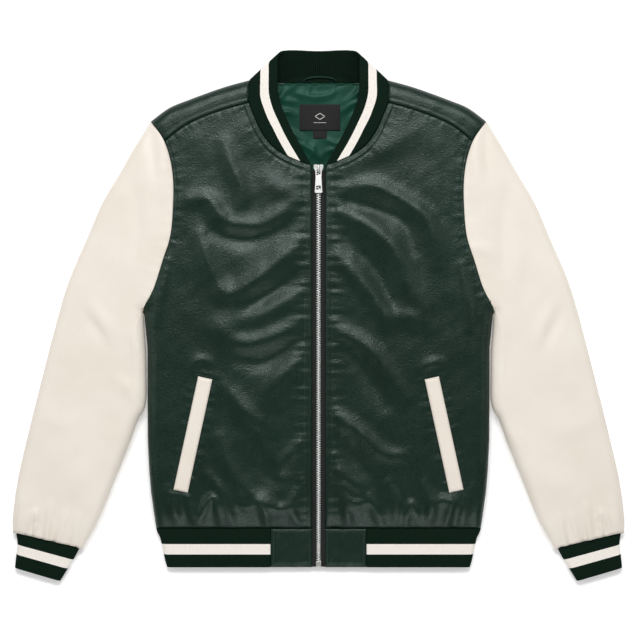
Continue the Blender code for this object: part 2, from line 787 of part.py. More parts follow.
def make_zip_chain():
    line = zip_line(ZIP_BOX_BOTTOM_Y + ZIP_BOX_LENGTH + SEAM_GAP, CHAIN_TOP_Y)
    rows = [[(x, y, z - CHAIN_DROP) for x in (-CHAIN_HALF_WIDTH, CHAIN_HALF_WIDTH)] for y, z in line]
    return make_sheet("zip_chain", [(rows, False, False)], CHAIN_THICKNESS, ZIP_METAL, "zip_metal")


def make_zip_box():
    line = zip_line(ZIP_BOX_BOTTOM_Y, ZIP_BOX_BOTTOM_Y + ZIP_BOX_LENGTH)
    top = line[0][1] - TAPE_DROP + ZIP_BOX_RISE
    half = ZIP_BOX_HALF_WIDTH
    rows = [[(x, y, top) for x in (-half, half)] for y in (line[0][0], line[-1][0])]
    return make_sheet("zip_box", [(rows, False, False)], ZIP_BOX_THICKNESS, ZIP_METAL, "zip_metal")


def slider_top():
    return zip_line(HEM_BOTTOM_Y, SLIDER_BOTTOM_Y)[-1][1] - SLIDER_DROP


def prism(outline, low, high, axis):
    """A closed prism: an outline of pairs, swept along x or z between two values."""
    mesh = bmesh.new()
    ends = []
    for level in (low, high):
        corners = [(level, a, b) if axis == "x" else (a, b, level) for a, b in outline]
        ends.append([mesh.verts.new([value * MM for value in corner]) for corner in corners])
    mesh.faces.new(ends[0][::-1])
    mesh.faces.new(ends[1])
    count = len(outline)
    for k in range(count):
        following = (k + 1) % count
        mesh.faces.new((ends[0][k], ends[0][following], ends[1][following], ends[1][k]))
    bmesh.ops.recalc_face_normals(mesh, faces=mesh.faces)
    return mesh


def boolean(target, tool, operation):
    tool.hide_render = True
    tool.display_type = "WIRE"
    cut = target.modifiers.new(tool.name, "BOOLEAN")
    cut.operation = operation
    cut.object = tool


def make_slider():
    top = slider_top()
    right = [
        (SLIDER_FOOT_HALF_WIDTH, SLIDER_BOTTOM_Y),
        (SLIDER_HALF_WIDTH, SLIDER_BOTTOM_Y + SLIDER_FLARE),
        (SLIDER_HALF_WIDTH, SLIDER_TOP_Y - SLIDER_CORNER),
        (SLIDER_HALF_WIDTH - SLIDER_CORNER, SLIDER_TOP_Y),
    ]
    outline = right + [(-x, y) for x, y in reversed(right)]
    body = prism(outline, top - SLIDER_THICKNESS, top, "z")
    slider = make_object("zip_slider", body, ZIP_METAL, "zip_metal")
    roof = top + BRIDGE_CLEAR
    crown = roof + BRIDGE_ROOF
    arch = [
        (BRIDGE_BOTTOM_Y, top - BRIDGE_ROOT), (BRIDGE_BOTTOM_Y + BRIDGE_LEG, top - BRIDGE_ROOT),
        (BRIDGE_BOTTOM_Y + BRIDGE_LEG, roof), (BRIDGE_TOP_Y - BRIDGE_LEG, roof),
        (BRIDGE_TOP_Y - BRIDGE_LEG, top - BRIDGE_ROOT), (BRIDGE_TOP_Y, top - BRIDGE_ROOT),
        (BRIDGE_TOP_Y, crown - BRIDGE_CORNER), (BRIDGE_TOP_Y - BRIDGE_CORNER, crown),
        (BRIDGE_BOTTOM_Y + BRIDGE_CORNER, crown), (BRIDGE_BOTTOM_Y, crown - BRIDGE_CORNER),
    ]
    solid = prism(arch, -BRIDGE_HALF_WIDTH, BRIDGE_HALF_WIDTH, "x")
    boolean(slider, make_object("bridge_tool", solid, ZIP_METAL, "zip_metal"), "UNION")
    return slider


def make_pull():
    """The pull tab: a plate with a slot that the slider's bridge passes through, and a hole near its end."""
    middle = slider_top() + BRIDGE_CLEAR / 2
    low, high = middle - PULL_THICKNESS / 2, middle + PULL_THICKNESS / 2
    half = PULL_THICKNESS / 2
    right = [
        (PULL_END_HALF_WIDTH - PULL_CORNER, PULL_END_Y),
        (PULL_END_HALF_WIDTH, PULL_END_Y + PULL_CORNER),
        (PULL_TOP_HALF_WIDTH, PULL_AXIS_Y + half),
    ]
    outline = [(-x, y) for x, y in reversed(right)] + right
    pull = make_object("zip_pull", prism(outline, low, high, "z"), ZIP_METAL, "zip_metal")
    slot_top = PULL_AXIS_Y - half
    hole_bottom = PULL_END_Y + PULL_HOLE_FROM_END
    openings = (
        ("slot_tool", PULL_SLOT_HALF_WIDTH, slot_top - PULL_SLOT_LENGTH, slot_top),
        ("hole_tool", PULL_HOLE[0] / 2, hole_bottom, hole_bottom + PULL_HOLE[1]),
    )
    for name, half_wide, start, end in openings:
        square = [(-half_wide, start), (half_wide, start), (half_wide, end), (-half_wide, end)]
        tool = make_object(name, prism(square, low - 1, high + 1, "z"), ZIP_METAL, "zip_metal")
        boolean(pull, tool, "DIFFERENCE")
    return pull


# ---------------------------------------------------------------- assembly


def main():
    clear_scene()
    make_back()
    for name, side in (("left", -1), ("right", 1)):
        panel = make_front(f"front_{name}", side)
        make_welt(f"welt_{name}", side, panel)
        make_sleeve(name, side)
        make_cuff(f"cuff_{name}", side)
        make_hem_tab(f"hem_tab_{name}", side)
        make_zip_tape(f"zip_tape_{name}", side)
    make_hem_rib()
    make_collar()
    make_neck_lining()
    make_flat_patch("label", LABEL_CENTRE, LABEL_SIZE, LINING_HEIGHT + 0.3, LABEL_THICKNESS)
    make_flat_patch("size_tab", SIZE_TAB_CENTRE, SIZE_TAB_SIZE, LINING_HEIGHT + 0.3, LABEL_THICKNESS)
    make_hanger_loop()
    make_zip_chain()
    make_zip_box()
    make_slider()
    make_pull()


main()
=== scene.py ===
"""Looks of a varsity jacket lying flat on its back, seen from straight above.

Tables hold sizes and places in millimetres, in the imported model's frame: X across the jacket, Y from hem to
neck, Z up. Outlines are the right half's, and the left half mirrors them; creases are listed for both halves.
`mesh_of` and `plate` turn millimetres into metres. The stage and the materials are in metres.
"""

import math

import bmesh
import bpy
import numpy as np
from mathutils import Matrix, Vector

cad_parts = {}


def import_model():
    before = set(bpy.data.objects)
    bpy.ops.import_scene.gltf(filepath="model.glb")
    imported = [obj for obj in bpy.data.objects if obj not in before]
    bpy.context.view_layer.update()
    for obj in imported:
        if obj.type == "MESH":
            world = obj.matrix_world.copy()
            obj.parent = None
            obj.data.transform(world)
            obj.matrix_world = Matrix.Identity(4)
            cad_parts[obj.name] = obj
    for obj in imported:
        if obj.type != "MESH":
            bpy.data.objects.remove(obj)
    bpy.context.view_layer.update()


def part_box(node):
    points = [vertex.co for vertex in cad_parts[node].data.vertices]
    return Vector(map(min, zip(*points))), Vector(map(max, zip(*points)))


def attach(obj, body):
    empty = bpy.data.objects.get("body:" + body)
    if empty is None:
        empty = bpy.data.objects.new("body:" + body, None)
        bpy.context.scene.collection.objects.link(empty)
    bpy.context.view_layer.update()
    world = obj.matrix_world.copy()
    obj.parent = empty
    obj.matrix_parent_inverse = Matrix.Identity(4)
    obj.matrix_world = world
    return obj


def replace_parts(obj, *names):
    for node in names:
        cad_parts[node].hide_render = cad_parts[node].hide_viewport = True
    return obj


MM = 0.001
BODY = "jacket"
PULL_BODY = "pull_tab"
SIDES = (("left", -1), ("right", 1))

# Walls
LEATHER_WALL = 1.4
SLEEVE_WALL = 1.2
RIB_WALL = 3.0
LINING_WALL = 0.9
WELT_WALL = 1.2
LABEL_WALL = 0.8
TAPE_WALL = 0.8
SEAM_GAP = 0.3
RIB_GAP = 0.5
TAB_GAP = 0.4

# Form of the two layers, as in the frame's solids
BODY_HEIGHT = 29.0
FOLD_ROUNDNESS = 0.62
BODY_FOLD = FOLD_ROUNDNESS * BODY_HEIGHT
FOLD_SEAM_GAP = 0.5
NECK_DIP = 3.0
NECK_DIP_RADIUS = 90.0
NECK_DIP_Y = 214.5
PANEL_EDGE_X = 9.0
HEM_SEAM_Y = -304.0
HEM_BOTTOM_Y = -360.0
ARMPIT_Y = 5.0
TAB_OUTER_X = 68.4
NECK_BACK_Y = 331.6

BODY_ROWS = (  # y, half width, height of the front layer
    (-360.0, 217.0, 12.0), (-352.0, 219.5, 12.5), (-336.0, 223.0, 13.0), (-318.0, 227.0, 13.5),
    (-309.0, 231.5, 14.0), (-304.0, 232.5, 14.0), (-285.0, 235.0, 21.0), (-251.0, 239.5, 26.0),
    (-219.0, 242.0, 28.0), (-177.0, 244.0, 28.5), (-46.0, 244.2, 29.0), (5.0, 249.2, 29.0),
)
ARMHOLE = (  # x, y, as in every outline below
    (249.2, 5.0), (248.0, 12.0), (233.6, 38.8), (221.2, 77.4), (209.9, 113.5), (206.0, 158.3),
    (206.0, 192.4), (210.2, 222.2), (220.1, 250.6), (239.3, 276.9),
)
NECKLINE = (
    (9.0, 213.5), (23.7, 218.1), (45.3, 226.8), (66.7, 242.1), (82.2, 263.7), (94.4, 291.4),
    (99.0, 303.3),
)
YOKE_SEAM = (
    (99.0, 303.3), (131.0, 294.5), (165.4, 282.2), (192.0, 269.0), (218.9, 248.0),
)
SHOULDER_FOLD = (
    (98.7, 335.8), (138.0, 324.8), (188.7, 306.4), (214.0, 295.6), (239.3, 276.9),
)
SLEEVE_OUTER = (
    (239.3, 276.9), (260.9, 242.5), (285.7, 199.5), (308.4, 161.2), (331.0, 108.9), (351.5, 61.8),
    (365.1, 22.9), (384.1, -47.3), (396.9, -97.3), (413.9, -165.4), (429.6, -233.6), (437.0, -285.0),
    (437.0, -305.5),
)
SLEEVE_INNER = (
    (249.9, 5.0), (248.4, -22.0), (246.2, -50.0), (245.8, -85.0), (245.9, -118.0), (249.5, -135.0),
    (257.7, -149.0), (269.8, -182.5), (290.4, -233.6), (311.0, -284.7), (329.4, -318.8),
    (336.4, -329.9),
)
CUFF_OUTER = (
    (434.3, -307.2), (431.4, -326.0), (433.2, -343.5), (435.1, -360.7),
)
CUFF_INNER = (
    (340.7, -330.0), (349.0, -346.0), (359.5, -363.0), (369.9, -379.9),
)
SLEEVE_ROWS = (  # share of the way from armhole to cuff, height of the upper layer
    (0.00, 29.0), (0.15, 27.5), (0.30, 26.0), (0.54, 25.0), (0.78, 23.5), (0.92, 21.0), (0.97, 18.0),
    (1.00, 15.0),
)
CUFF_HEIGHT = 12.0
ARMHOLE_BOW = 0.3
ARMHOLE_BLEND = 0.25
ARMPIT_FAN = 10.0
ARMPIT_REACH = 400.0
EDGE_CATCH = 8.0
EDGE_FOCUS = 6
BLOUSE = 6.0
BLOUSE_FROM = 0.9
COLLAR_EDGE = (  # free edge of the collar at each station from zip to centre back: x, y, z
    (11.4, 216.6, 24.8), (22.0, 235.0, 25.0), (33.0, 254.5, 25.5), (42.5, 273.5, 26.0),
    (50.5, 292.0, 26.0), (55.5, 306.5, 25.5), (57.6, 322.0, 25.0), (58.2, 340.0, 23.5),
    (58.3, 358.0, 21.0), (58.6, 367.0, 19.5), (57.6, 372.6, 18.0), (55.6, 376.0, 16.0),
    (52.4, 378.2, 13.0), (48.0, 379.4, 9.5), (42.0, 379.8, 7.0), (28.0, 379.6, 6.0), (14.0, 379.0, 6.0),
    (0.0, 378.8, 6.0),
)
COLLAR_FOLD_TURNS = (90, 58, 28, 6, 0)
COLLAR_FRONT_SHARES = (0.03, *np.linspace(1 / 6, 1, 6))
COLLAR_BACK_XS = (57.0, 28.5, 0.0)
COLLAR_WIDTH = 41.5
COLLAR_PUFF = 1.3

# Creases, in every table: half width, rise (a trough sinks), points along it
FRONT_CREASES = (
    (11.0, 3.0, ((-182, 164), (-158, 165), (-141, 143), (-126, 130), (-100, 127))),
    (13.0, 2.6, ((-100, 127), (-76, 129), (-35, 157))),
    (12.0, 2.8, ((-133, 244), (-126, 219), (-109, 178), (-111, 148))),
    (16.0, 1.8, ((-72, 195), (-48, 178), (-26, 170))),
    (12.0, 3.0, ((-168, 113), (-155, 72), (-136, 31))),
    (14.0, 3.2, ((-136, 31), (-111, 36), (-76, 60), (-29, 102))),
    (15.0, 2.4, ((-141, -11), (-111, -6), (-76, 6), (-22, 36))),
    (14.0, 3.0, ((-141, -22), (-106, -39), (-59, -28), (-22, -9))),
    (7.0, 1.4, ((-180, -72), (-168, -63), (-157, -66))),
    (12.0, 2.6, ((-130, -104), (-100, -140), (-76, -158))),
    (15.0, 2.8, ((-76, -120), (-55, -89), (-22, -58))),
    (12.0, 2.8, ((-141, -175), (-123, -222), (-100, -252), (-59, -282))),
    (10.0, 2.0, ((-55, -217), (-40, -198), (-16, -173))),
    (13.0, -2.2, ((-150, 119), (-104, 107), (-60, 124))),
    (13.0, -2.2, ((-111, -4), (-80, 22), (-35, 50))),
    (14.0, -2.4, ((-111, -63), (-76, -66), (-38, -42))),
    (14.0, -2.2, ((-97, -198), (-69, -226), (-40, -234))),
    (7.0, 1.6, ((-214, 76), (-225, 22), (-229, -11))),
    (18.0, 1.8, ((31, 208), (66, 224), (102, 244), (131, 255))),
    (12.0, 3.0, ((36, 178), (77, 184), (113, 167), (148, 143), (161, 119), (170, 72))),
    (13.0, 3.2, ((31, 148), (66, 131), (96, 107), (113, 83), (126, 48), (148, 12))),
    (12.0, 2.8, ((25, 83), (55, 55), (77, 25), (102, -11))),
    (6.0, 1.8, ((203, 72), (212, 20), (214, -20))),
    (12.0, 2.8, ((10, -16), (42, -28), (77, -52), (102, -87), (119, -116))),
    (13.0, 2.0, ((102, 2), (131, -4), (154, -16))),
    (11.0, 3.0, ((13, -134), (55, -164), (90, -194), (119, -200))),
    (10.0, 2.4, ((13, -200), (36, -229), (60, -246))),
    (7.0, 1.6, ((148, -75), (161, -67), (174, -67))),
    (12.0, -2.4, ((45, 160), (94, 147), (123, 129), (133, 93))),
    (12.0, -2.2, ((38, 107), (73, 76), (93, 43), (116, -6))),
    (12.0, -2.2, ((45, -49), (70, -84), (94, -127))),
    (12.0, -2.0, ((38, -177), (62, -212), (84, -234))),
)
HEM_CREASES = (  # gathers above the hem band
    (8.0, 2.6, ((-212, -246), (-205, -276), (-199, -298))),
    (7.0, 2.4, ((-186, -262), (-178, -284), (-176, -301))),
    (6.0, 3.2, ((-170, -297), (-162, -272), (-151, -258), (-143, -272), (-139, -298))),
    (9.0, 3.2, ((-156, -228), (-138, -250), (-128, -282), (-120, -301))),
    (9.0, 2.4, ((-118, -262), (-104, -272), (-88, -268))),
    (6.0, 2.2, ((-84, -262), (-76, -282), (-72, -300))),
    (9.0, 2.6, ((-74, -258), (-58, -274), (-42, -270), (-30, -252))),
    (6.0, 1.8, ((-38, -276), (-28, -302))),
    (6.0, 1.8, ((36, -268), (46, -302))),
    (9.0, 2.4, ((30, -250), (52, -268), (72, -262))),
    (8.0, 2.8, ((72, -258), (82, -280), (88, -301))),
    (8.0, 3.0, ((98, -238), (111, -266), (108, -298))),
    (7.0, 2.8, ((124, -300), (132, -268), (142, -298))),
    (8.0, 3.0, ((150, -240), (160, -270), (156, -300))),
    (9.0, 2.4, ((166, -268), (182, -262), (196, -272))),
    (6.0, 2.4, ((192, -262), (182, -300))),
    (8.0, 2.6, ((218, -244), (208, -274), (204, -298))),
)
SLEEVE_CREASES = (
    (8.0, -1.8, ((-238, 288), (-237, 240), (-231, 200))),
    (9.0, 1.6, ((-220, 268), (-221, 215), (-218, 165))),
    (10.0, -1.5, ((-262, 190), (-258, 130), (-262, 80))),
    (8.0, -1.8, ((240, 286), (237, 236), (241, 190))),
    (9.0, 1.6, ((224, 264), (222, 210), (220, 172))),
    (10.0, -1.4, ((268, 176), (262, 120), (266, 66))),
    (11.0, 1.6, ((-321, 11), (-308, -8), (-296, -28))),
    (9.0, -1.4, ((-330, 2), (-312, -22), (-304, -40))),
    (9.0, 1.4, ((-262, -30), (-253, -42), (-246, -62))),
    (10.0, 1.3, ((-284, -92), (-268, -106), (-254, -112))),
    (16.0, 1.4, ((-228, 236), (-236, 180), (-240, 120))),
    (15.0, 1.2, ((-300, -180), (-318, -214), (-345, -238))),
    (14.0, 1.2, ((-400, -130), (-372, -152), (-340, -150))),
    (13.0, 1.4, ((236, 262), (233, 190), (238, 121))),
    (9.0, 1.4, ((222, 97), (238, 93), (252, 84))),
    (12.0, 1.4, ((284, 110), (282, 70), (280, 34))),
    (10.0, 1.6, ((332, 14), (322, -8), (311, -34))),
    (9.0, -1.4, ((345, 4), (330, -24), (322, -44))),
    (11.0, 1.4, ((258, -140), (268, -166), (288, -186))),
    (14.0, 1.2, ((398, -140), (372, -160), (346, -166))),
    (15.0, 1.2, ((312, -214), (334, -240), (362, -250))),
)
CUFF_CREASES = (  # gathers where the sleeve meets its cuff, on both sleeves
    (5.0, 3.0, ((420, -262), (428, -300))),
    (4.5, 3.6, ((416, -303), (410, -285), (402, -280), (404, -307))),
    (5.0, 2.8, ((381, -268), (388, -312))),
    (5.0, 3.2, ((360, -284), (370, -318))),
    (5.0, 2.6, ((342, -286), (352, -322))),
    (2.6, -2.4, ((406, -312), (409, -303), (403, -292), (396, -295), (398, -304))),
    (2.6, -2.0, ((372, -322), (380, -312), (378, -300))),
)
BACK_CREASES = (  # the lower layer lifts off the surface along these
    (9.0, 1.6, ((-150, 180), (-90, 120), (-40, 90))),
    (9.0, 1.4, ((160, 150), (100, 60), (50, 30))),
    (8.0, 1.5, ((-180, -30), (-110, -60), (-40, -50))),
    (8.0, 1.3, ((30, -90), (90, -140), (150, -160))),
    (7.0, 1.4, ((-120, -200), (-80, -250), (-60, -290))),
    (7.0, 1.3, ((90, -230), (110, -270), (112, -298))),
    (6.0, 1.1, ((-20, 250), (0, 180), (10, 120))),
)
CREASE_DEPTH = 1.7
CREASE_ENDS = 0.45
CREASE_MIDDLE = 0.55
SLEEVE_CREASE_DEPTH = 1.6
HEM_SWELL = 2.2
HEM_SWELL_AT = 30.0
CALM_FROM_X = 10.0
CALM_TO_X = 30.0
RIPPLE_WAVES = 7
PUCKER_LENGTHS = (8.3, 12.7, 19.1, 31.0)
PUCKER_SHARES = (0.3, 0.5, 0.45, 0.3)

# Seams: rolled edges, a bead along the front edges, puffs and dents of stitch rows
EDGE_ROLL = 1.0
EDGE_ROLL_WIDTH = 2.0
EDGE_BEAD = 0.9
EDGE_BEAD_IN = 1.6
STITCH_DENT = 0.8
STRIP_PUFF = 0.6
STRIP_PUFF_SHARE = 0.32
STITCH_DENT_WIDTH = 1.3
ZIP_STITCH = 10.5
NECK_STITCHES = (2.6, 9.6)
ARMHOLE_STITCH = 3.2
YOKE_STITCH = 6.0
TAB_STITCH = 4.0
WELT_STITCH = 2.0
STITCH_LENGTH = 2.7
STITCH_PITCH = 3.5
STITCH_RADIUS = 0.32
STITCH_SIDES = 5
STITCH_RINGS = (  # place in its length, girth, rise
    (-0.5, 0.35, -0.25), (-0.25, 1.0, 0.05), (0.25, 1.0, 0.05), (0.5, 0.35, -0.25),
)

# Rib knit
RIB_PITCH = 3.0
RIB_DEPTH = 0.55
RIB_SAMPLES = 4
STRIPE_FROM_EDGE = {"hem": (18.5, 33.4), "collar": (13.2, 25.4), "cuff": (19.5, 33.5)}

# Zip
TOOTH_PITCH = 3.4
TOOTH_REACH = 3.2
TOOTH_OVERLAP = 0.9
TOOTH_WIDTH = 1.25
TOOTH_HEIGHT = 2.6
CHAIN_TOP_Y = 203.6
CHAIN_DROP = 1.7
TAPE_DROP = 2.9
SLIDER_BOTTOM_Y = 204.0
SLIDER_TOP_Y = 214.5
SLIDER_HALF_WIDTH = 6.8
SLIDER_THICKNESS = 6.2
PULL_AXIS_Y = 208.9
PULL_END_Y = 174.0
PULL_THICKNESS = 1.6
ZIP_BOX_BOTTOM_Y = -359.3
ZIP_BOX_LENGTH = 8.0
ZIP_BOX_HALF_WIDTH = 3.65
ZIP_PIN = (0.5, 1.9, 1.5, 3.0)  # left and right edge, from the box's foot, beyond its head
TAPE_EDGES = (2.2, 15.0)
TAPE_BEAD = 0.8
TAPE_BEAD_WIDTH = 1.2
SLIDER_PLATE = 1.8
SLIDER_SINK = 0.4
BRIDGE_REACH = 4.05
BRIDGE_RISE = 4.2
BRIDGE_SQUARENESS = 0.45
BRIDGE_BREADTH = 2.0
PULL_HALF_WIDTHS = (4.6, 4.2, 5.45)  # at the top, the waist and the end
PULL_WAIST = 14.0
PULL_SLOT = (2.7, 10.6, 1.6)  # half width, then both ends measured down from the top
PULL_HOLE = (3.2, 4.6, 10.3)  # half width, then both ends measured up from the pull's end

# Pockets and neck
WELT_CENTRE = (178.2, -169.0)
WELT_SIZE = (20.8, 165.0)
WELT_TILT = math.radians(12.3)
WELT_ALONG = np.array((-math.sin(WELT_TILT), math.cos(WELT_TILT)))
WELT_ACROSS = np.array((math.cos(WELT_TILT), math.sin(WELT_TILT)))
WELT_LIFT = 2.5
WELT_EDGE_DROP = 1.9
LINING_ROWS = ((200.0, 66.0), (235.0, 74.0), (270.0, 78.0), (300.0, 78.0), (322.0, 76.0), (330.9, 74.0))
LINING_HEIGHT = 4.3
LINING_LIFT = 0.9
LINING_LOWEST = 3.2
LINING_CREASES = (
    (4.5, 2.6, ((-70, 322), (-52, 310), (-34, 306))),
    (4.0, 2.4, ((-66, 300), (-50, 318), (-40, 328))),
    (4.0, 2.2, ((-62, 286), (-46, 292), (-34, 288))),
    (4.5, 2.4, ((-30, 318), (-6, 313), (18, 317), (30, 326))),
    (4.0, 2.4, ((38, 306), (52, 316), (66, 328))),
    (4.5, 2.6, ((34, 292), (50, 304), (68, 306))),
    (4.0, 2.2, ((40, 270), (50, 284), (66, 290))),
    (4.5, 2.2, ((-52, 268), (-38, 262), (-20, 250))),
    (4.5, 2.4, ((-34, 248), (-14, 240), (2, 226))),
    (4.0, 2.2, ((12, 252), (28, 246), (40, 256))),
    (4.0, 2.0, ((8, 232), (20, 238), (30, 234))),
    (4.0, 1.8, ((-16, 222), (-8, 236), (-6, 248))),
)
LABEL_CENTRE = (2.0, 283.8)
LABEL_SIZE = (58.0, 37.4)
SIZE_TAB_CENTRE = (2.2, 259.1)
SIZE_TAB_SIZE = (19.6, 11.0)
MOTIF_BARS = (  # corners about the label's centre, half width
    (((-7.0, 1.5), (0.0, 6.0), (7.0, 1.5), (0.0, -3.0), (-7.0, 1.5)), 0.45),
    (((-9.0, -7.5), (9.0, -7.5)), 0.3),
)
PIPING_HALF_SPAN = 77.0
PIPING_HEIGHT = 5.2
PIPING_RADIUS = 1.2
LOOP_HALF_SPAN = 23.0
LOOP_RISE = 7.0
LOOP_FOOT_Y = 334.8
LOOP_HEIGHTS = (5.0, 7.0)
LOOP_RADIUS = 1.3

# Numbers of points in the grids
FOLD_COUNT = 9
NECK_FOLD_COUNT = 7
HEM_FOLD_COUNT = 8
FRONT_COLUMNS = 66
FRONT_LOW_ROWS = 105
FRONT_HIGH_ROWS = 116
ZIP_EDGE_ROWS = 68
BACK_COLUMNS = 48
BACK_LOW_ROWS = 60
BACK_MIDDLE_ROWS = 52
BACK_NECK_COLUMNS = 16
YOKE_ROWS = 9
SLEEVE_MIDDLE_COLUMNS = 46
SLEEVE_LENGTH_ROWS = 150
SLEEVE_FINE_ROWS = 8
SLEEVE_FINE_SHARE = 0.02
BLOUSE_ROWS = 12
CUFF_COLUMNS = 16
CUFF_FOLD_COUNT = 7
TRIM_ROWS = 24
HEM_ROWS = 26
HEM_FRONT_COLUMNS = 50
HEM_BACK_COLUMNS = 60
COLLAR_STEPS = 30
BATCH = 6000  # points whose distances are taken at once
WELD = 1e-6  # metres
SMOOTH_ANGLE = 60
METAL_SMOOTH_ANGLE = 40

# Stage
FLOOR_SIZE = 8.0
FLOOR_Z = -0.0004
FLOOR_GLOW = 0.22
CAMERA_HEIGHT = 2.172
CAMERA_SPOT = (0.0021, -0.0064)
CAMERA_LENS = 85.0
SENSOR = 36.0
WORLD_STRENGTH = 0.16
LIGHTS = (  # name, place, size (metres), power (watts)
    ("key", (-0.05, 2.1, 2.95), (1.8, 0.9), 95),
    ("left", (-2.2, 0.3, 1.6), (1.0, 1.4), 10),
    ("right", (2.2, 0.4, 1.6), (1.0, 1.4), 8),
    ("foot", (0.2, -2.2, 1.5), (1.8, 1.0), 19),
)


# ---------------------------------------------------------------- lines in plan


def smooth_path(points, steps=8):
    """A dense Catmull-Rom line through some points."""
    knots = np.array([points[0], *points, points[-1]], float)
    a, b, c, d = (knots[k:len(knots) - 3 + k, None, :] for k in range(4))
    t = (np.arange(steps) / steps)[None, :, None]
    line = 0.5 * (2 * b + (c - a) * t + (2 * a - 5 * b + 4 * c - d) * t**2 + (3 * b - a - 3 * c + d) * t**3)
    return np.vstack([line.reshape(-1, knots.shape[1]), knots[-1]])


def lengths_along(line):
    return np.concatenate([[0], np.cumsum(np.linalg.norm(np.diff(line, axis=0), axis=1))])


def length_of(line):
    return lengths_along(line)[-1]


def at_lengths(line, lengths):
    along = lengths_along(line)
    return np.column_stack([np.interp(lengths, along, line[:, axis]) for axis in range(line.shape[1])])


def at_shares(line, shares):
    return at_lengths(line, np.asarray(shares) * length_of(line))


def spread(line, count, low=0.0, high=1.0):
    """Evenly spaced points between two shares of a line."""
    return at_shares(line, np.linspace(low, high, count))


def moved_aside(line, distance):
    """A line moved to its right as it runs."""
    line = np.asarray(line, float)
    run = np.gradient(line, axis=0)
    run /= np.linalg.norm(run, axis=1)[:, None]
    return line + np.reshape(distance, (-1, 1)) * np.column_stack([run[:, 1], -run[:, 0]])


def nearest(points, line):
    """Distance of each point from a line, and how far along the line its nearest spot lies."""
    flat = points.reshape(-1, 2)
    start, run = line[:-1], np.diff(line, axis=0)
    size = (run**2).sum(axis=1)
    along = lengths_along(line)[:-1]
    away, place = np.empty(len(flat)), np.empty(len(flat))
    for low in range(0, len(flat), BATCH):
        offset = flat[low:low + BATCH, None, :] - start
        share = np.clip((offset * run).sum(axis=2) / size, 0, 1)
        gap = np.linalg.norm(offset - share[..., None] * run, axis=2)
        best = gap.argmin(axis=1)
        rows = np.arange(len(best))
        away[low:low + BATCH] = gap[rows, best]
        place[low:low + BATCH] = along[best] + share[rows, best] * np.sqrt(size[best])
    return away.reshape(points.shape[:-1]), place.reshape(points.shape[:-1])


ARMHOLE_LINE = smooth_path(ARMHOLE)
NECK_LINE = smooth_path(NECKLINE)
YOKE_LINE = smooth_path(YOKE_SEAM)
SHOULDER_LINE = smooth_path(SHOULDER_FOLD)
OUTER_LINE = smooth_path(SLEEVE_OUTER)
INNER_LINE = smooth_path(SLEEVE_INNER)
CUFF_OUTER_LINE = smooth_path(CUFF_OUTER)
CUFF_INNER_LINE = smooth_path(CUFF_INNER)
SIDE_LINE = np.array([(half_width, y) for y, half_width, _ in BODY_ROWS])
ZIP_LINE = np.array([(PANEL_EDGE_X, HEM_BOTTOM_Y), (PANEL_EDGE_X, NECKLINE[0][1])])
EDGE_LINES = (SIDE_LINE, SHOULDER_LINE, OUTER_LINE, INNER_LINE, CUFF_OUTER_LINE, CUFF_INNER_LINE)
ARMHOLE_LENGTH = length_of(ARMHOLE_LINE)
ARMHOLE_TO_YOKE = np.interp(YOKE_SEAM[-1][1], ARMHOLE_LINE[:, 1], lengths_along(ARMHOLE_LINE))


# ---------------------------------------------------------------- form of the cloth


def looked_up(rows, at, column):
    return np.interp(at, [row[0] for row in rows], [row[column] for row in rows])


def half_width(y):
    return looked_up(BODY_ROWS, y, 1)


def body_height(y):
    return looked_up(BODY_ROWS, y, 2)


def sleeve_height(share):
    return looked_up(SLEEVE_ROWS, share, 1)


def bell(distance, width):
    """1 at no distance, falling to nothing on both sides."""
    return np.exp(-((distance / width) ** 2))


def mirrored(points):
    """Plan points brought onto the right half."""
    return np.stack([np.abs(points[..., 0]), points[..., 1]], axis=-1)


def roundness(points, height):
    """0 on a rounded edge of the jacket, rising along a quarter ellipse to 1 inside it."""
    right = mirrored(points)
    away = np.min([nearest(right, line)[0] for line in EDGE_LINES], axis=0)
    inside = np.minimum(away / (FOLD_ROUNDNESS * height), 1)
    return np.sqrt(1 - (1 - inside) ** 2)


def creased(points, creases):
    """Height that a table of creases adds: soft ridges, deepest at their middle and uneven along it."""
    total = np.zeros(points.shape[:-1])
    for width, rise, spots in creases:
        line = smooth_path(spots, 6)
        away, place = nearest(points, line)
        share = place / length_of(line)
        total += rise * (CREASE_ENDS + CREASE_MIDDLE * np.sin(math.pi * share)) * bell(away, width)
    return total


def ripple(points, wavelength, seed):
    """Smooth irregular waves between about -1 and 1. The seed picks them."""
    rng = np.random.RandomState(seed)
    total = np.zeros(points.shape[:-1])
    for turn, phase, stretch in zip(rng.uniform(0, math.pi, RIPPLE_WAVES),
                                    rng.uniform(0, 2 * math.pi, RIPPLE_WAVES),
                                    rng.uniform(0.7, 1.5, RIPPLE_WAVES)):
        along = points[..., 0] * math.cos(turn) + points[..., 1] * math.sin(turn)
        total += np.sin(2 * math.pi * along / (wavelength * stretch) + phase)
    return total / (RIPPLE_WAVES / 2)


def wobble(place, seed):
    """Irregular puckers along a seam, between about -1 and 1. The seed picks them."""
    rng = np.random.RandomState(seed)
    waves = zip(PUCKER_LENGTHS, PUCKER_SHARES, rng.uniform(0, 2 * math.pi, len(PUCKER_LENGTHS)))
    return sum(share * np.sin(2 * math.pi * place / length + phase) for length, share, phase in waves)


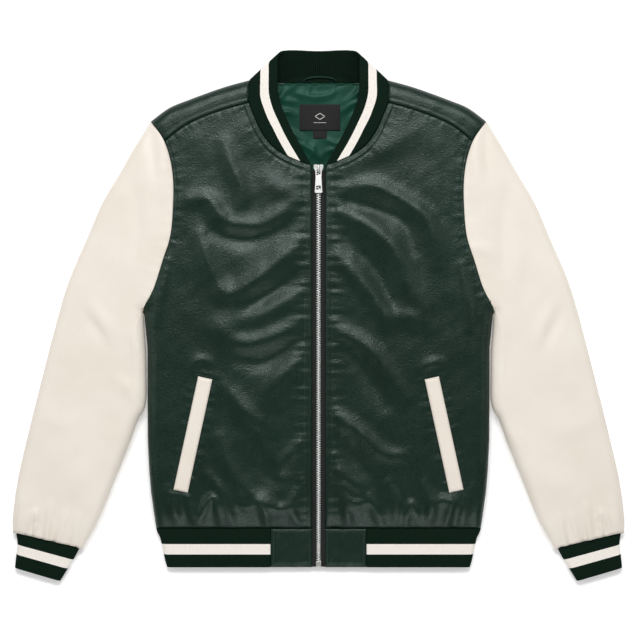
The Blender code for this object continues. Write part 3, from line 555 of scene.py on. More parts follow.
def seam(points, line, stitches, pucker, reach, seed):
    """A rolled edge beside a seam line, dents under its stitch rows and puckers across them."""
    away, place = nearest(mirrored(points), line)
    side = np.where(points[..., 0] < 0, 37.0, 0.0)
    height = -EDGE_ROLL * bell(away, EDGE_ROLL_WIDTH)
    start = 0.0
    for row in stitches:
        height += STRIP_PUFF * bell(away - (start + row) / 2, STRIP_PUFF_SHARE * (row - start))
        height -= STITCH_DENT * bell(away - row, STITCH_DENT_WIDTH)
        start = row
    beyond = np.clip((away - start + 3) / 4, 0.25, 1) * bell(away, reach)
    return height + pucker * wobble(place + side, seed) * beyond


def upper(points, height, relief):
    """Height of the upper layer, with relief on its flat part."""
    base = (height + FOLD_SEAM_GAP) / 2
    dip = NECK_DIP * np.exp(-(points[..., 0] ** 2 + (points[..., 1] - NECK_DIP_Y) ** 2) / NECK_DIP_RADIUS**2)
    return base + (height - dip + relief - base) * roundness(points, height)


def lower(points, height, relief=0.0):
    """Height of the lower layer: flat where it rests, rising towards the rounded edges."""
    share = roundness(points, height)
    return (height - FOLD_SEAM_GAP) / 2 * (1 - share) + relief * share


def welt_seat(points):
    """A shallow trough round each pocket welt, with puckers running off it."""
    offset = mirrored(points) - WELT_CENTRE
    along, over = offset @ WELT_ALONG, offset @ WELT_ACROSS
    past = np.stack([np.abs(along) - WELT_SIZE[1] / 2, np.abs(over) - WELT_SIZE[0] / 2])
    away = np.linalg.norm(np.maximum(past, 0), axis=0)
    puckers = 0.7 * wobble(along + 3 * np.sign(points[..., 0]), 62)
    return -1.2 * bell(away, 3.0) + puckers * bell(away, 9.0)


def front_relief(points):
    from_zip = np.abs(points[..., 0])
    calm = np.clip((from_zip - CALM_FROM_X) / (CALM_TO_X - CALM_FROM_X), 0, 1)
    calm = calm * calm * (3 - 2 * calm)
    relief = CREASE_DEPTH * (creased(points, FRONT_CREASES) + creased(points, HEM_CREASES))
    relief += 0.45 * ripple(points, 70, 3) + 0.16 * ripple(points, 26, 4)
    above_hem = points[..., 1] - HEM_SEAM_Y
    relief += 0.8 * wobble(points[..., 0] * 0.45, 5) * bell(above_hem, 20)
    swell = 0.7 + 0.5 * wobble(points[..., 0] * 0.3, 10)
    relief += HEM_SWELL * swell * bell(above_hem - HEM_SWELL_AT, 16)
    relief *= calm
    relief += seam(points, ZIP_LINE, (ZIP_STITCH,), 1.3, 19, 6)
    relief += EDGE_BEAD * bell(from_zip - PANEL_EDGE_X - EDGE_BEAD_IN, EDGE_BEAD_IN)
    relief += seam(points, NECK_LINE, NECK_STITCHES, 0.6, 16, 7)
    relief += seam(points, ARMHOLE_LINE, (ARMHOLE_STITCH,), 0.5, 11, 8)
    relief += seam(points, YOKE_LINE, (), 0.4, 9, 9)
    relief += welt_seat(points)
    return relief - EDGE_ROLL * bell(above_hem, EDGE_ROLL_WIDTH)


def front_z(points):
    return upper(points, body_height(points[..., 1]), front_relief(points))


def yoke_relief(points):
    relief = 0.35 * ripple(points, 50, 13) + 0.14 * ripple(points, 22, 14)
    relief += 0.45 * seam(points, YOKE_LINE, (YOKE_STITCH,), 0.7, 10, 15)
    relief += seam(points, ARMHOLE_LINE, (ARMHOLE_STITCH,), 0.3, 8, 8)
    neck_side = np.array([YOKE_SEAM[0], SHOULDER_FOLD[0]])
    return relief + seam(points, neck_side, (2.6,), 0.2, 8, 16)


def yoke_z(points):
    return upper(points, BODY_HEIGHT, yoke_relief(points))


def back_relief(points):
    relief = creased(points, BACK_CREASES)
    return np.maximum(relief, 0) * np.clip((points[..., 1] - HEM_SEAM_Y) / 30, 0, 1)


def sleeve_relief(points):
    relief = SLEEVE_CREASE_DEPTH * creased(points, SLEEVE_CREASES) + creased(mirrored(points), CUFF_CREASES)
    relief += 0.5 * ripple(points, 95, 23) + 0.14 * ripple(points, 30, 24)
    relief += seam(points, ARMHOLE_LINE, (), 0.55, 15, 25)
    end = np.array([CUFF_OUTER[0], CUFF_INNER[0]])
    return relief + seam(points, end, (), 1.3, 18, 26)


# ---------------------------------------------------------------- plan grids


def coons(bottom, top, inner, outer):
    """Plan points of a patch between four outlines that meet at their corners."""
    v = np.linspace(0, 1, len(inner))[:, None, None]
    u = np.linspace(0, 1, len(bottom))[None, :, None]
    sides = (1 - v) * bottom[None] + v * top[None] + (1 - u) * inner[:, None] + u * outer[:, None]
    corners = (1 - u) * ((1 - v) * bottom[0] + v * top[0]) + u * ((1 - v) * bottom[-1] + v * top[-1])
    return sides - corners


def fold_steps(count):
    """Shares of a rounded edge's width, from its inside to its rim."""
    return 1 - np.cos(np.linspace(math.pi / 2, 0, count))


def across(start, end, height, columns, fold_count=FOLD_COUNT):
    """Plan points from an inner edge to a rounded outer edge, closer together round the edge."""
    start, end = np.asarray(start, float), np.asarray(end, float)
    width = np.linalg.norm(end - start)
    fold = FOLD_ROUNDNESS * height
    shares = (width - fold) / width * np.arange(columns) / columns
    shares = np.concatenate([shares, 1 - fold * fold_steps(fold_count) / width])
    return start + (end - start) * shares[:, None]


def armhole_lengths(middle):
    """Distances along the armhole from the armpit, closer together at both ends."""
    steps = BODY_FOLD * fold_steps(FOLD_COUNT)
    inside = np.linspace(BODY_FOLD, ARMHOLE_LENGTH - BODY_FOLD, middle + 2)[1:-1]
    return np.concatenate([steps[::-1], inside, ARMHOLE_LENGTH - steps])


def back_neck(xs):
    """Plan points of the back's neck edge."""
    neck_x, neck_y = SHOULDER_FOLD[0]
    return np.column_stack([xs, NECK_BACK_Y + (neck_y - NECK_BACK_Y) * (xs / neck_x) ** 2])


def front_plan():
    """Plan points of a front, hem seam to yoke seam."""
    low = [across((PANEL_EDGE_X, y), (half_width(y), y), body_height(y), FRONT_COLUMNS)
           for y in np.linspace(HEM_SEAM_Y + SEAM_GAP / 2, ARMPIT_Y, FRONT_LOW_ROWS)]
    outer = at_lengths(ARMHOLE_LINE, ARMHOLE_TO_YOKE * np.linspace(0, 1, FRONT_HIGH_ROWS))
    edge_ys = np.linspace(ARMPIT_Y, NECKLINE[0][1], ZIP_EDGE_ROWS)
    straight = np.column_stack([np.full(ZIP_EDGE_ROWS, PANEL_EDGE_X), edge_ys])
    inner = np.vstack([straight, spread(NECK_LINE, FRONT_HIGH_ROWS - ZIP_EDGE_ROWS + 1)[1:]])
    top = spread(YOKE_LINE, len(low[0]))
    top[-1] = outer[-1]
    high = coons(low[-1], top, inner, outer)
    return np.concatenate([np.array(low), high[1:]])


def back_plan():
    """Plan points of the back's right half, and the column where its shoulder fold starts."""
    low = [across((0, y), (half_width(y), y), body_height(y), BACK_COLUMNS)
           for y in np.linspace(HEM_SEAM_Y + SEAM_GAP / 2, ARMPIT_Y, BACK_LOW_ROWS)]
    fold_x = SHOULDER_FOLD[0][0] - BODY_FOLD
    neck = back_neck(np.concatenate([np.linspace(0, fold_x, BACK_NECK_COLUMNS)[:-1],
                                     SHOULDER_FOLD[0][0] - BODY_FOLD * fold_steps(NECK_FOLD_COUNT)]))
    top = np.vstack([neck, spread(SHOULDER_LINE, len(low[0]) - len(neck) + 1)[1:]])
    outer = at_lengths(ARMHOLE_LINE, armhole_lengths(BACK_MIDDLE_ROWS))
    steps = BODY_FOLD * fold_steps(FOLD_COUNT)
    inside = np.linspace(ARMPIT_Y + BODY_FOLD, NECK_BACK_Y - BODY_FOLD, BACK_MIDDLE_ROWS + 2)[1:-1]
    ys = np.concatenate([ARMPIT_Y + steps[::-1], inside, NECK_BACK_Y - steps])
    high = coons(low[-1], top, np.column_stack([np.zeros(len(ys)), ys]), outer)
    return np.concatenate([np.array(low), high[1:]]), len(neck) - 1


def yoke_plan(fold_points):
    """Plan points of the back's part that wraps over the shoulder, from the fold to the yoke seam."""
    steps = BODY_FOLD * fold_steps(FOLD_COUNT)[::-1]
    inside = np.linspace(BODY_FOLD, ARMHOLE_LENGTH - ARMHOLE_TO_YOKE, YOKE_ROWS)[1:]
    side = at_lengths(ARMHOLE_LINE, ARMHOLE_LENGTH - np.concatenate([steps, inside]))
    seam_line = spread(YOKE_LINE, len(fold_points)) + (0, SEAM_GAP)
    neck_x, neck_y = fold_points[0]
    below_fold = np.linspace(neck_y - BODY_FOLD, seam_line[0][1], YOKE_ROWS)[1:]
    ys = np.concatenate([neck_y - steps, below_fold])
    neck = np.column_stack([np.linspace(neck_x, seam_line[0][0], len(ys)), ys])
    seam_line[-1] = side[-1]
    return coons(fold_points, seam_line, neck, side)


def edge_spot(line, share):
    """A point part way along an edge line, and the direction to its right."""
    length = length_of(line) * share
    before, spot, after = at_lengths(line, [length - 2, length, length + 2])
    run = (after - before) / np.linalg.norm(after - before)
    return spot, np.array((run[1], -run[0]))


def fanned(armhole, full, lengths, share):
    """A row between the armhole and the first full row, bulged outwards above the armpit's corner."""
    t = share / ARMHOLE_BLEND
    rising = np.clip(lengths / BODY_FOLD, 0, 1)
    fading = np.clip(1 - lengths / ARMPIT_REACH, 0, 1)
    bulge = ARMPIT_FAN * rising * fading * 4 * t * (1 - t)
    row = armhole + (full - armhole) * t + bulge[:, None] * (1, 0)
    over = lengths / lengths[-1]
    for line, end, weight in ((INNER_LINE, 0, (1 - over) ** EDGE_FOCUS), (OUTER_LINE, -1, over**EDGE_FOCUS)):
        miss = edge_spot(line, share)[0] - row[end]
        row = row + weight[:, None] * miss * min(EDGE_CATCH * t, 1)
    return row


def sleeve_row(share):
    """Plan points across the sleeve's upper layer, from its inner to its outer edge."""
    lengths = armhole_lengths(SLEEVE_MIDDLE_COLUMNS)
    armhole = moved_aside(at_lengths(ARMHOLE_LINE, lengths), SEAM_GAP)
    if share < ARMHOLE_BLEND:
        return fanned(armhole, sleeve_row(ARMHOLE_BLEND), lengths, share)
    steps = FOLD_ROUNDNESS * sleeve_height(share) * fold_steps(FOLD_COUNT)
    inner, inner_side = edge_spot(INNER_LINE, share)
    outer, outer_side = edge_spot(OUTER_LINE, share)
    low = inner - inner_side * steps[::-1, None]
    high = outer + outer_side * steps[:, None]
    shares = lengths / lengths[-1]
    chord = armhole[0] + (armhole[-1] - armhole[0]) * shares[:, None]
    line = low[-1] + (high[0] - low[-1]) * shares[:, None]
    row = line + max(1 - share / ARMHOLE_BOW, 0) ** 2 * (armhole - chord)
    row[:FOLD_COUNT] = low
    row[-FOLD_COUNT:] = high
    return row


def cuff_row(share):
    inner = at_shares(CUFF_INNER_LINE, [share])[0]
    outer = at_shares(CUFF_OUTER_LINE, [share])[0]
    middle = (inner + outer) / 2
    left, right = (across(middle, end, CUFF_HEIGHT, CUFF_COLUMNS, CUFF_FOLD_COUNT) for end in (inner, outer))
    return np.vstack([left[:0:-1], right])


# ---------------------------------------------------------------- meshes


# Spots on a sheet's inner side
ABOVE = np.array((0.0, 0.0, 5000.0))
BELOW = -ABOVE


def with_z(plan, z):
    return np.concatenate([plan, z[..., None]], axis=-1)


def flipped(points, side):
    return points * ((side, 1) if points.shape[-1] == 2 else (side, 1, 1))


def piece(name, mesh, materials, body=BODY, smooth_angle=SMOOTH_ANGLE):
    made = bpy.data.objects.new(name, mesh)
    bpy.context.scene.collection.objects.link(made)
    for item in materials:
        mesh.materials.append(item)
    mesh.shade_smooth()
    mesh.set_sharp_from_angle(angle=math.radians(smooth_angle))
    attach(made, body)
    return made


def quads(rows, columns, closed, reverse, offset=0):
    """Corner numbers of a grid's quads."""
    index = offset + np.arange(rows * columns).reshape(rows, columns)
    if closed:
        index = np.hstack([index, index[:, :1]])
    corners = (index[:-1, :-1], index[:-1, 1:], index[1:, 1:], index[1:, :-1])
    corners = np.stack(corners, axis=-1).reshape(-1, 4)
    return corners[:, ::-1] if reverse else corners


def grid_normals(grid):
    normal = np.cross(np.gradient(grid, axis=1), np.gradient(grid, axis=0))
    return normal / (np.linalg.norm(normal, axis=-1, keepdims=True) + 1e-12)


def faces_away(grid, spot):
    """Whether a grid's own normals mostly point away from a spot."""
    return float((grid_normals(grid) * (grid - spot)).sum()) > 0


def mesh_of(name, points, faces):
    mesh = bpy.data.meshes.new(name)
    mesh.from_pydata((np.asarray(points) * MM).tolist(), [], [list(face) for face in faces])
    mesh.validate()
    return mesh


def piece_from_grids(name, grids, wall, materials, band=None):
    """A sheet of cloth from grids of its outer side, joined where they meet, with a wall inwards.

    Each grid is (points, closed, spot on its inner side). band gives each point's distance from a trim's
    free edge.
    """
    points, faces, count = [], [], 0
    for grid, closed, spot in grids:
        points.append(grid.reshape(-1, 3))
        faces.extend(quads(*grid.shape[:2], closed, not faces_away(grid, spot), count).tolist())
        count += grid.shape[0] * grid.shape[1]
    mesh = mesh_of(name, np.vstack(points), faces)
    if band is not None:
        mesh.attributes.new("band", "FLOAT", "POINT").data.foreach_set("value", np.ravel(band).astype(float))
    if len(grids) > 1:
        whole = bmesh.new()
        whole.from_mesh(mesh)
        bmesh.ops.remove_doubles(whole, verts=whole.verts, dist=WELD)
        whole.to_mesh(mesh)
        whole.free()
    made = piece(name, mesh, materials)
    solidify = made.modifiers.new("Wall", "SOLIDIFY")
    solidify.thickness = wall * MM
    solidify.offset = -1
    solidify.material_offset = len(materials) - 1
    solidify.material_offset_rim = 0
    return made


def kept_above(made):
    """Gives the piece its finished mesh, with no point under the surface that the jacket lies on."""
    graph = bpy.context.evaluated_depsgraph_get()
    mesh = bpy.data.meshes.new_from_object(made.evaluated_get(graph))
    made.modifiers.clear()
    made.data = mesh
    for vertex in mesh.vertices:
        vertex.co.z = max(vertex.co.z, 0.0)


def ribbed(grid, spot):
    """A grid with rounded knit ribs across it, their grooves sunk from its outer side."""
    phase = np.arange(grid.shape[1]) / RIB_SAMPLES
    depth = RIB_DEPTH * (np.abs(np.sin(math.pi * phase)) - 1) * (1 if faces_away(grid, spot) else -1)
    return grid + grid_normals(grid) * depth[None, :, None]


def knit_columns(length):
    """Columns that give every rib along a length its samples."""
    return round(length / RIB_PITCH) * RIB_SAMPLES + 1


def resampled(rows, count):
    """Rows of a grid resampled to evenly spaced columns."""
    return np.array([spread(row, count) for row in rows])


def both_layers(top, height, relief):
    """A closed row round a sleeve or cuff: along the upper layer, then back along the lower one."""
    bottom = top[-2:0:-1]
    return np.vstack([with_z(top, upper(top, height, relief)), with_z(bottom, lower(bottom, height))])


# ---------------------------------------------------------------- materials


def linear(colour):
    share = np.array(colour, float) / 255
    return (*np.where(share <= 0.04045, share / 12.92, ((share + 0.055) / 1.055) ** 2.4), 1.0)


class Look:
    """A Principled material that its nodes are added to."""

    def __init__(self, name, colour, roughness, **values):
        self.material = bpy.data.materials.new(name)
        self.material.use_nodes = True
        self.tree = self.material.node_tree
        self.shader = self.tree.nodes["Principled BSDF"]
        self.shader.inputs["Base Color"].default_value = linear(colour)
        self.shader.inputs["Roughness"].default_value = roughness
        for socket, value in values.items():
            self.shader.inputs[socket.replace("_", " ")].default_value = value
        self.place = self.node("ShaderNodeTexCoord").outputs["Object"]

    def node(self, kind, **settings):
        made = self.tree.nodes.new(kind)
        for name, value in settings.items():
            setattr(made, name, value)
        return made

    def link(self, source, target):
        self.tree.links.new(source, target)

    def noise(self, scale, detail=3.0, rough=0.5):
        made = self.node("ShaderNodeTexNoise")
        made.inputs["Scale"].default_value = scale
        made.inputs["Detail"].default_value = detail
        made.inputs["Roughness"].default_value = rough
        self.link(self.place, made.inputs["Vector"])
        return made.outputs["Fac"]

    def cells(self, scale, feature="F1"):
        made = self.node("ShaderNodeTexVoronoi", feature=feature)
        made.inputs["Scale"].default_value = scale
        self.link(self.place, made.inputs["Vector"])
        return made.outputs["Distance"]

    def ramp(self, source, low, high):
        """Stretches a 0 to 1 value over a range."""
        made = self.node("ShaderNodeMapRange")
        made.inputs["To Min"].default_value = low
        made.inputs["To Max"].default_value = high
        self.link(source, made.inputs["Value"])
        return made.outputs["Result"]

    def mix(self, factor, first, second):
        made = self.node("ShaderNodeMix", data_type="RGBA")
        for colour, socket in ((first, made.inputs[6]), (second, made.inputs[7])):
            if isinstance(colour, tuple):
                socket.default_value = linear(colour)
            else:
                self.link(colour, socket)
        self.link(factor, made.inputs[0])
        return made.outputs[2]

    def math(self, operation, first, second):
        made = self.node("ShaderNodeMath", operation=operation)
        for value, socket in ((first, made.inputs[0]), (second, made.inputs[1])):
            if isinstance(value, (int, float)):
                socket.default_value = value
            else:
                self.link(value, socket)
        return made.outputs[0]

    def colour(self, source):
        self.link(source, self.shader.inputs["Base Color"])

    def roughness(self, source):
        self.link(source, self.shader.inputs["Roughness"])

    def bump(self, source, strength, distance, under=None):
        made = self.node("ShaderNodeBump")
        made.inputs["Strength"].default_value = strength
        made.inputs["Distance"].default_value = distance
        self.link(source, made.inputs["Height"])
        if under is not None:
            self.link(under, made.inputs["Normal"])
        self.link(made.outputs["Normal"], self.shader.inputs["Normal"])
        return made.outputs["Normal"]


def leather(name, colour, shade, roughness, grain_scale, grain_depth, sparkle, **values):
    """Coated leather: pebbled grain, fine pores, and patches slightly darker and glossier than others."""
    look = Look(name, colour, roughness, **values)
    patches = look.noise(14, 4)
    look.colour(look.mix(look.ramp(patches, -0.3, 1.2), colour, shade))
    gloss = look.ramp(look.noise(60, 3), roughness - 0.07, roughness + 0.09)
    pores = look.ramp(look.noise(grain_scale, 2, 0.8), -sparkle, sparkle)
    look.roughness(look.math("ADD", gloss, pores))
    wrinkles = look.math("MULTIPLY", look.noise(grain_scale * 0.45, 4), 0.9)
    pebbles = look.math("ADD", look.cells(grain_scale), wrinkles)
    coarse = look.bump(look.noise(150, 3), 0.5, 0.0004)
    look.bump(pebbles, 0.6, grain_depth, coarse)
    return look.material


def rib(name, stripe):
    """Rib knit: small stitches along each rib, with a cream stripe at its distance from the trim's edge."""
    green, shade, cream = (12, 34, 23), (7, 25, 16), (250, 245, 238)
    look = Look(name, green, 0.92, Specular_IOR_Level=0.12)
    yarn = look.mix(look.ramp(look.noise(900, 3), -0.2, 1.3), green, shade)
    if stripe:
        band = look.node("ShaderNodeAttribute", attribute_name="band")
        inside = look.math("MULTIPLY", look.math("GREATER_THAN", band.outputs["Fac"], stripe[0]),
                           look.math("LESS_THAN", band.outputs["Fac"], stripe[1]))
        pale = look.mix(look.ramp(look.noise(700, 3), 0, 1.2), cream, (243, 237, 228))
        yarn = look.mix(inside, yarn, pale)
    look.colour(yarn)
    look.bump(look.math("ADD", look.cells(900), look.noise(1500, 2)), 0.6, 0.0005)
    return look.material


def satin(name, colour, shade):
    look = Look(name, colour, 0.44, Specular_IOR_Level=0.2, Specular_Tint=(0.6, 1.0, 0.85, 1.0))
    look.colour(look.mix(look.ramp(look.noise(35, 4), -0.1, 1.1), colour, shade))
    look.bump(look.noise(700, 2), 0.12, 0.0003)
    return look.material


def woven(name, colour, scale=1600):
    look = Look(name, colour, 0.85, Sheen_Weight=0.1)
    weave = look.node("ShaderNodeTexBrick", offset=0.5)
    weave.inputs["Scale"].default_value = scale
    look.link(look.place, weave.inputs["Vector"])
    look.bump(weave.outputs["Fac"], 0.4, 0.0002)
    look.roughness(look.ramp(look.noise(400, 2), 0.75, 0.95))
    return look.material


def metal(name, colour, roughness):
    look = Look(name, colour, roughness, Metallic=0.88)
    look.roughness(look.ramp(look.noise(500, 3), roughness - 0.06, roughness + 0.08))
    look.bump(look.noise(1400, 2), 0.08, 0.0001)
    return look.material


def thread(name, colour):
    look = Look(name, colour, 0.6, Sheen_Weight=0.2)
    look.bump(look.noise(4000, 2), 0.3, 0.0001)
    return look.material


def make_materials():
    green, cream = (8, 37, 26), (243, 235, 224)
    return {
        "green": leather("green_grained_leather", green, (4, 27, 18), 0.36, 620, 0.00043, 0.3,
                         Specular_IOR_Level=0.45,
                         Specular_Tint=(0.88, 1.0, 0.95, 1.0)),
        "cream": leather("cream_smooth_leather", cream, (234, 224, 211), 0.46, 950, 0.00008, 0.05,
                         Specular_IOR_Level=0.4),
        "inside": woven("lining_inside", (24, 66, 52), 900),
        "hem_rib": rib("rib_hem", STRIPE_FROM_EDGE["hem"]),
        "collar_rib": rib("rib_collar", STRIPE_FROM_EDGE["collar"]),
        "cuff_rib": rib("rib_cuff", STRIPE_FROM_EDGE["cuff"]),
        "plain_rib": rib("rib_plain", None),
        "satin": satin("lining_satin", (27, 74, 59), (11, 46, 35)),
        "cord": satin("hanger_cord", (14, 42, 31), (8, 30, 22)),
        "label": woven("label_woven", (19, 19, 20), 1500),
        "motif": woven("label_motif", (205, 205, 200), 1500),
        "tape": woven("zip_tape_woven", (13, 16, 15), 1100),
        "nickel": metal("zip_nickel", (226, 226, 223), 0.36),
        "bright": metal("zip_bright", (244, 244, 242), 0.42),
        "green_thread": thread("thread_green", (42, 64, 53)),
        "cream_thread": thread("thread_cream", (236, 227, 214)),
    }


# ---------------------------------------------------------------- body


def plan_area(plan):
    """Area in plan of a grid of points."""
    a, b, c, d = plan[:-1, :-1], plan[:-1, 1:], plan[1:, 1:], plan[1:, :-1]
    diagonals = np.stack([c - a, d - b], axis=-2)
    return float(np.abs(np.linalg.det(diagonals)).sum() / 2)


def make_front(name, side, looks):
    plan = flipped(front_plan(), side)
    made = piece_from_grids(name, [(with_z(plan, front_z(plan)), False, BELOW)], LEATHER_WALL,
                            [looks["green"], looks["inside"]])
    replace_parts(made, name)


def make_back(looks):
    plan, corner = back_plan()
    grids, area = [], 0.0
    for side in (1, -1):
        half = flipped(plan, side)
        lower_grid = with_z(half, lower(half, body_height(half[..., 1]), back_relief(half)))
        wrap = flipped(yoke_plan(plan[-1][corner:]), side)
        wrap_grid = with_z(wrap, yoke_z(wrap))
        wrap_grid[0] = lower_grid[-1][corner:]
        grids += [(lower_grid, False, ABOVE), (wrap_grid, False, BELOW)]
        area += plan_area(half) + plan_area(wrap)
    made = piece_from_grids("back", grids, LEATHER_WALL, [looks["green"], looks["inside"]])
    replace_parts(made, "back")


def make_sleeve(name, side, looks):
    fine = np.linspace(0, SLEEVE_FINE_SHARE, SLEEVE_FINE_ROWS)[:-1]
    shares = np.concatenate([fine, np.linspace(SLEEVE_FINE_SHARE, 1, SLEEVE_LENGTH_ROWS)])
    rows = []
    for share in shares:
        top = flipped(sleeve_row(share), side)
        rows.append(both_layers(top, sleeve_height(share), sleeve_relief(top)))
    grid = np.array(rows)
    tail = np.clip((shares - BLOUSE_FROM) / (1 - BLOUSE_FROM), 0, 1)[:, None, None] ** 2
    run = (grid[-1] - grid[-BLOUSE_ROWS])[:, :2]
    run /= np.linalg.norm(run, axis=1)[:, None]
    grid[..., :2] += BLOUSE * tail * run
    made = piece_from_grids(f"sleeve_{name}", [(grid, True, grid.mean(axis=(0, 1)))], SLEEVE_WALL,
                            [looks["cream"], looks["inside"]])
    kept_above(made)
    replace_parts(made, f"sleeve_upper_{name}", f"sleeve_under_{name}")


def make_cuff(name, side, looks):
    shares = np.linspace(0, 1, TRIM_ROWS)
    rows = [both_layers(flipped(cuff_row(share), side), CUFF_HEIGHT, 0.0) for share in shares]
    loops = [np.vstack([row, row[:1]]) for row in rows]
    around = length_of(loops[0])
    grid = resampled(loops, knit_columns(around))[:, :-1]
    middle = grid.mean(axis=(0, 1))
    length = length_of(CUFF_OUTER_LINE)
    band = np.repeat((1 - shares)[:, None] * length, grid.shape[1], axis=1)
    made = piece_from_grids(name, [(ribbed(grid, middle), True, middle)], RIB_WALL,
                            [looks["cuff_rib"]], band)
    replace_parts(made, name)


def hem_ys():
    return np.linspace(HEM_SEAM_Y - RIB_GAP, HEM_BOTTOM_Y, HEM_ROWS)


def make_hem_rib(looks):
    rows = []
    for y in hem_ys():
        edge, height = (half_width(y), y), body_height(y)
        front = across((TAB_OUTER_X + SEAM_GAP, y), edge, height, HEM_FRONT_COLUMNS, HEM_FOLD_COUNT)
        below = across((0.0, y), edge, height, HEM_BACK_COLUMNS, HEM_FOLD_COUNT)[-2::-1]
        half = np.vstack([with_z(front, upper(front, height, 0.0)), with_z(below, lower(below, height))])
        rows.append(np.vstack([half, flipped(half[-2::-1], -1)]))
    around = length_of(rows[0])
    grid = resampled(rows, knit_columns(around))
    middle = np.array((0.0, (HEM_SEAM_Y + HEM_BOTTOM_Y) / 2, body_height(HEM_BOTTOM_Y) / 2))
    band = np.repeat((hem_ys() - HEM_BOTTOM_Y)[:, None], grid.shape[1], axis=1)
    made = piece_from_grids("hem_rib", [(ribbed(grid, middle), False, middle)], RIB_WALL,
                            [looks["hem_rib"]], band)
    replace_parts(made, "hem_rib")


def tab_relief(points):
    """Edges of a leather square rolled down, with a dent under its stitch row."""
    from_zip = np.abs(points[..., 0])
    inside = np.min([from_zip - PANEL_EDGE_X, TAB_OUTER_X - from_zip,
                     HEM_SEAM_Y - points[..., 1], points[..., 1] - HEM_BOTTOM_Y], axis=0)
    relief = -1.3 * bell(inside, 2.0)
    relief -= STITCH_DENT * bell(inside - TAB_STITCH, STITCH_DENT_WIDTH)
    return relief + 0.35 * ripple(points, 24, 31) + 0.12 * ripple(points, 10, 32)


def tab_z(points):
    return upper(points, body_height(points[..., 1]), tab_relief(points))


def make_hem_tab(name, side, looks):
    xs = np.linspace(PANEL_EDGE_X + TAB_GAP, TAB_OUTER_X, 60)
    plan = flipped(np.stack(np.meshgrid(xs, hem_ys()[::-1]), axis=-1), side)
    made = piece_from_grids(name, [(with_z(plan, tab_z(plan)), False, BELOW)], LEATHER_WALL,
                            [looks["green"], looks["inside"]])
    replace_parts(made, name)


# ---------------------------------------------------------------- collar and neck


def collar_stations():
    """Sewn edge and free edge of the collar's right half, from the zip to the centre back."""
    steps = BODY_FOLD * (1 - np.cos(np.radians(COLLAR_FOLD_TURNS)))
    neck_x, neck_y = SHOULDER_FOLD[0]
    front = moved_aside(at_shares(NECK_LINE, COLLAR_FRONT_SHARES), -RIB_GAP)
    front[-1][0] = neck_x - RIB_GAP
    side = [(neck_x - RIB_GAP, neck_y - step) for step in steps[1:-1]]
    above = np.vstack([front, side])
    corner = np.array([[neck_x - SEAM_GAP, neck_y + RIB_GAP, BODY_HEIGHT / 2]])
    below = back_neck(np.array([*(neck_x - steps[-2::-1]), *COLLAR_BACK_XS]))
    below_z = lower(below, BODY_HEIGHT)
    sewn = np.vstack([with_z(above, upper(above, BODY_HEIGHT, 0.0)), corner,
                      with_z(below + (0, 2 * RIB_GAP), below_z)])
    return sewn, np.array(COLLAR_EDGE)


def make_collar(looks):
    sewn, free = (smooth_path(np.vstack([half, flipped(half[-2::-1], -1)]), COLLAR_STEPS)
                  for half in collar_stations())
    middle = lengths_along((sewn + free) / 2)
    places = np.linspace(0, middle[-1], knit_columns(middle[-1]))
    sewn, free = (np.column_stack([np.interp(places, middle, edge[:, k]) for k in range(3)])
                  for edge in (sewn, free))
    shares = np.linspace(0, 1, TRIM_ROWS)[:, None, None]
    grid = free[None] + (sewn - free)[None] * shares
    width = np.linalg.norm(sewn - free, axis=1)
    full_width = np.minimum(width, COLLAR_WIDTH)
    puff = COLLAR_PUFF * np.sin(math.pi * shares[..., 0]) ** 0.8 * np.clip(width / 30, 0, 1)[None]
    on_top = np.clip((grid[..., 2] - 3) / 10, 0, 1)
    grid = ribbed(grid, BELOW)
    grid[..., 2] += puff * on_top
    made = piece_from_grids("collar", [(grid, False, BELOW)], RIB_WALL,
                            [looks["collar_rib"], looks["plain_rib"]], shares[..., 0] * full_width[None])
    kept_above(made)
    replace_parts(made, "collar")


def make_neck_lining(looks):
    ys = np.linspace(LINING_ROWS[0][0], LINING_ROWS[-1][0], 66)
    xs = np.linspace(-1, 1, 78)
    widths = looked_up(LINING_ROWS, ys, 1)
    plan = np.stack([widths[:, None] * xs[None], np.repeat(ys[:, None], len(xs), axis=1)], axis=-1)
    down = NECK_BACK_Y - plan[..., 1]
    gathers = 0.9 * wobble(plan[..., 0] * 0.7 + down * 0.2, 41) * bell(down, 16)
    z = LINING_HEIGHT + LINING_LIFT + gathers + creased(plan, LINING_CREASES) + 0.5 * ripple(plan, 40, 42)
    made = piece_from_grids("neck_lining", [(with_z(plan, np.maximum(z, LINING_LOWEST)), False, BELOW)],
                            LINING_WALL, [looks["satin"]])
    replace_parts(made, "neck_lining")


def flat_label(name, centre, size, height, looks):
    """A woven label with turned edges, gently bowed with the lining under it."""
    unit = np.stack(np.meshgrid(np.linspace(-0.5, 0.5, 40), np.linspace(-0.5, 0.5, 28)), axis=-1)
    plan = unit * size + centre
    inside = np.min([(0.5 - np.abs(unit[..., 0])) * size[0], (0.5 - np.abs(unit[..., 1])) * size[1]], axis=0)
    z = height - 0.5 * bell(inside, 1.2) + 0.25 * ripple(plan, 40, 51)
    made = piece_from_grids(name, [(with_z(plan, z), False, BELOW)], LABEL_WALL,
                            [looks["label"]])
    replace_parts(made, name)


